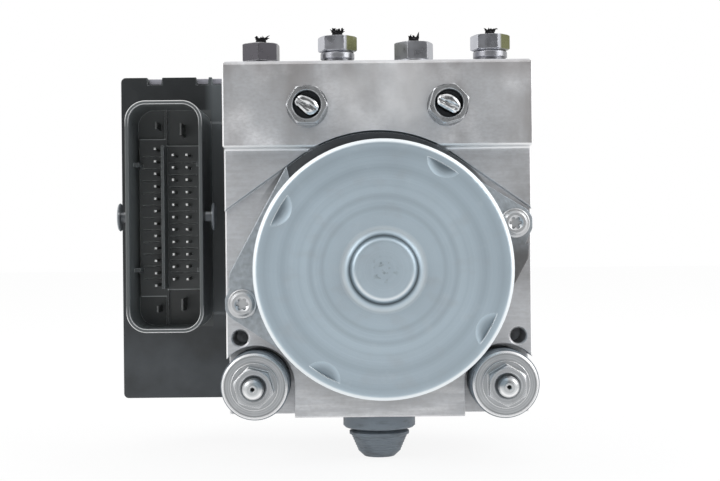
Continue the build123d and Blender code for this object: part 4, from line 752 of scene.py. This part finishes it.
def notch_webs():
    """Sloping ends of the notches in the top edge of the plate, as moulded."""
    top, bottom = 110.5 * MM, 107.9 * MM
    mesh = bmesh.new()
    for side, foot in ((-76.7, 1.15), (-71.6, -0.4), (-60.2, 0.65), (-55.9, -0.45), (-54.9, 0.5)):
        loops = []
        for y in (22.0, 24.4):
            knee = (side + 0.25 * foot, 0.75 * top + 0.25 * bottom)
            corners = ((side, bottom), (side + foot, bottom), knee, (side, top))
            loops.append([mesh.verts.new((px * MM, y * MM, pz)) for px, pz in corners])
        mesh.faces.new(loops[0])
        mesh.faces.new(loops[1][::-1])
        for i in range(4):
            j = (i + 1) % 4
            mesh.faces.new((loops[0][j], loops[0][i], loops[1][i], loops[1][j]))
    bmesh.ops.recalc_face_normals(mesh, faces=mesh.faces)
    piece("plate_notch_webs", mesh, MATERIALS["black_plastic"], "root")


notch_webs()


def flange_shoulder(name, sign):
    """Straight shoulder of the motor's flange that runs from the ear up along the can."""
    outline = [(-28.2, 31.2), (-40.0, 9.56), (-46.2, -1.9), (-46.6, -6.5), (-41.0, -6.5), (-36.2, 6.0), (-27.0, 26.0)]
    mesh = bmesh.new()
    front, back = (-16.0 - 0.02) * MM, -13.5 * MM
    loops = []
    for y in (front, back):
        loops.append([mesh.verts.new((sign * px * MM, y, MOTOR_Z + sign * pz * MM)) for px, pz in outline])
    count = len(outline)
    mesh.faces.new(loops[0])
    mesh.faces.new(loops[1][::-1])
    for i in range(count):
        j = (i + 1) % count
        mesh.faces.new((loops[0][j], loops[0][i], loops[1][i], loops[1][j]))
    bmesh.ops.recalc_face_normals(mesh, faces=mesh.faces)
    shoulder = piece(name, mesh, MATERIALS["zinc_can"], "root")
    edge = shoulder.modifiers.new("edge", "BEVEL")
    edge.width = 0.3 * MM
    edge.segments = 2


flange_shoulder("flange_shoulder_left", 1)
flange_shoulder("flange_shoulder_right", -1)


def pressed_spring(side):
    """Accumulator spring, copied from the part's own, that stands on its cap."""
    node = NODES["accumulator_spring_" + side]
    spring = bpy.data.objects.new("pressed_spring_" + side, node.data.copy())
    bpy.context.scene.collection.objects.link(spring)
    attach(spring, "root")
    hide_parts(node.name)
    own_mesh(spring)


pressed_spring("left")
pressed_spring("right")


# ------------------------------------------------------------------ floor, light and camera
WIDTH_PX, HEIGHT_PX = 720, 481
FOCAL_PX = 1310.0
AXIS_PX = (350.0, 243.0)       # where the camera's axis meets the picture
CAMERA = Vector((-8.8, -420.0, 54.1)) * MM
ROLL_DEG = -0.57
SENSOR_MM = 36.0
FLOOR_SIZE = 6.0
FLOOR_GAP = 0.0002              # below the part's lowest point
FLOOR_COLOUR = (0.93, 0.93, 0.93, 1)
FLOOR_GLOW = 0.88               # share of the floor that glows white; the rest takes the shadow
DIM_SIDE = 0.15                 # strength of the world on the camera's side, as the front faces mirror it
LAMP_SIZE = 0.8
LAMP_POWER = 5.0
LAMP_TARGET = Vector((0, 0, 0.05))


def make_floor():
    """White floor that shows as nearly white and still takes the part's shadow."""
    bpy.ops.mesh.primitive_plane_add(size=FLOOR_SIZE, location=(0, 0, cad_box[0].z - FLOOR_GAP))
    floor = bpy.context.object
    floor.name = "floor"
    material = bpy.data.materials.new("floor_white")
    material.use_nodes = True
    tree = material.node_tree
    tree.nodes.clear()
    diffuse = tree.nodes.new("ShaderNodeBsdfDiffuse")
    diffuse.inputs["Color"].default_value = FLOOR_COLOUR
    glow = tree.nodes.new("ShaderNodeEmission")
    path = tree.nodes.new("ShaderNodeLightPath")
    share = tree.nodes.new("ShaderNodeMath")
    share.operation = "MULTIPLY"
    share.inputs[1].default_value = FLOOR_GLOW
    mix = tree.nodes.new("ShaderNodeMixShader")
    out = tree.nodes.new("ShaderNodeOutputMaterial")
    seen = path.outputs["Is Camera Ray"]
    for kind in ("Is Glossy Ray", "Is Transmission Ray"):
        either = tree.nodes.new("ShaderNodeMath")
        either.operation = "MAXIMUM"
        tree.links.new(seen, either.inputs[0])
        tree.links.new(path.outputs[kind], either.inputs[1])
        seen = either.outputs[0]
    tree.links.new(seen, share.inputs[0])
    tree.links.new(share.outputs[0], mix.inputs[0])
    tree.links.new(diffuse.outputs[0], mix.inputs[1])
    tree.links.new(glow.outputs[0], mix.inputs[2])
    tree.links.new(mix.outputs[0], out.inputs["Surface"])
    floor.data.materials.append(material)


def make_world():
    """White tent, dimmer on the side where the camera stands, though camera rays see it white all round."""
    world = bpy.data.worlds.new("tent")
    bpy.context.scene.world = world
    world.use_nodes = True
    tree = world.node_tree
    tree.nodes.clear()
    place = tree.nodes.new("ShaderNodeTexCoord")
    split = tree.nodes.new("ShaderNodeSeparateXYZ")
    tree.links.new(place.outputs["Generated"], split.inputs[0])
    front = tree.nodes.new("ShaderNodeMapRange")
    front.interpolation_type = "SMOOTHSTEP"
    for name, number in (("From Min", -0.55), ("From Max", -0.9), ("To Min", 1.0), ("To Max", DIM_SIDE)):
        front.inputs[name].default_value = number
    tree.links.new(split.outputs["Y"], front.inputs["Value"])
    path = tree.nodes.new("ShaderNodeLightPath")
    strength = tree.nodes.new("ShaderNodeMix")
    strength.inputs["B"].default_value = 1.0
    tree.links.new(path.outputs["Is Camera Ray"], strength.inputs["Factor"])
    tree.links.new(front.outputs[0], strength.inputs["A"])
    background = tree.nodes.new("ShaderNodeBackground")
    background.inputs["Color"].default_value = (1, 1, 1, 1)
    tree.links.new(strength.outputs["Result"], background.inputs["Strength"])
    out = tree.nodes.new("ShaderNodeOutputWorld")
    tree.links.new(background.outputs[0], out.inputs["Surface"])


def make_lamp(name, place):
    """Soft square lamp that points at the part."""
    data = bpy.data.lights.new(name, "AREA")
    data.size = LAMP_SIZE
    data.energy = LAMP_POWER
    lamp = bpy.data.objects.new(name, data)
    bpy.context.scene.collection.objects.link(lamp)
    lamp.location = place
    lamp.rotation_mode = "QUATERNION"
    lamp.rotation_quaternion = (LAMP_TARGET - Vector(place)).to_track_quat("-Z", "Y")


def make_camera():
    """Level camera in front of the part, with the photo's framing and slight roll."""
    data = bpy.data.cameras.new("camera")
    data.sensor_width = SENSOR_MM
    data.lens = FOCAL_PX * SENSOR_MM / WIDTH_PX
    data.shift_x = (WIDTH_PX / 2 - AXIS_PX[0]) / WIDTH_PX
    data.shift_y = (AXIS_PX[1] - HEIGHT_PX / 2) / WIDTH_PX
    data.clip_start = 0.01
    camera = bpy.data.objects.new("camera", data)
    bpy.context.scene.collection.objects.link(camera)
    look_along_y = Matrix.Rotation(math.radians(90), 4, "X")
    camera.matrix_world = Matrix.Translation(CAMERA) @ look_along_y @ Matrix.Rotation(math.radians(ROLL_DEG), 4, "Z")
    bpy.context.scene.camera = camera


make_floor()
make_world()
make_lamp("lamp_left", (-0.9, -0.5, 0.7))
make_lamp("lamp_right", (0.9, -0.35, 0.6))
make_camera()
bpy.context.scene.view_settings.view_transform = "Standard"
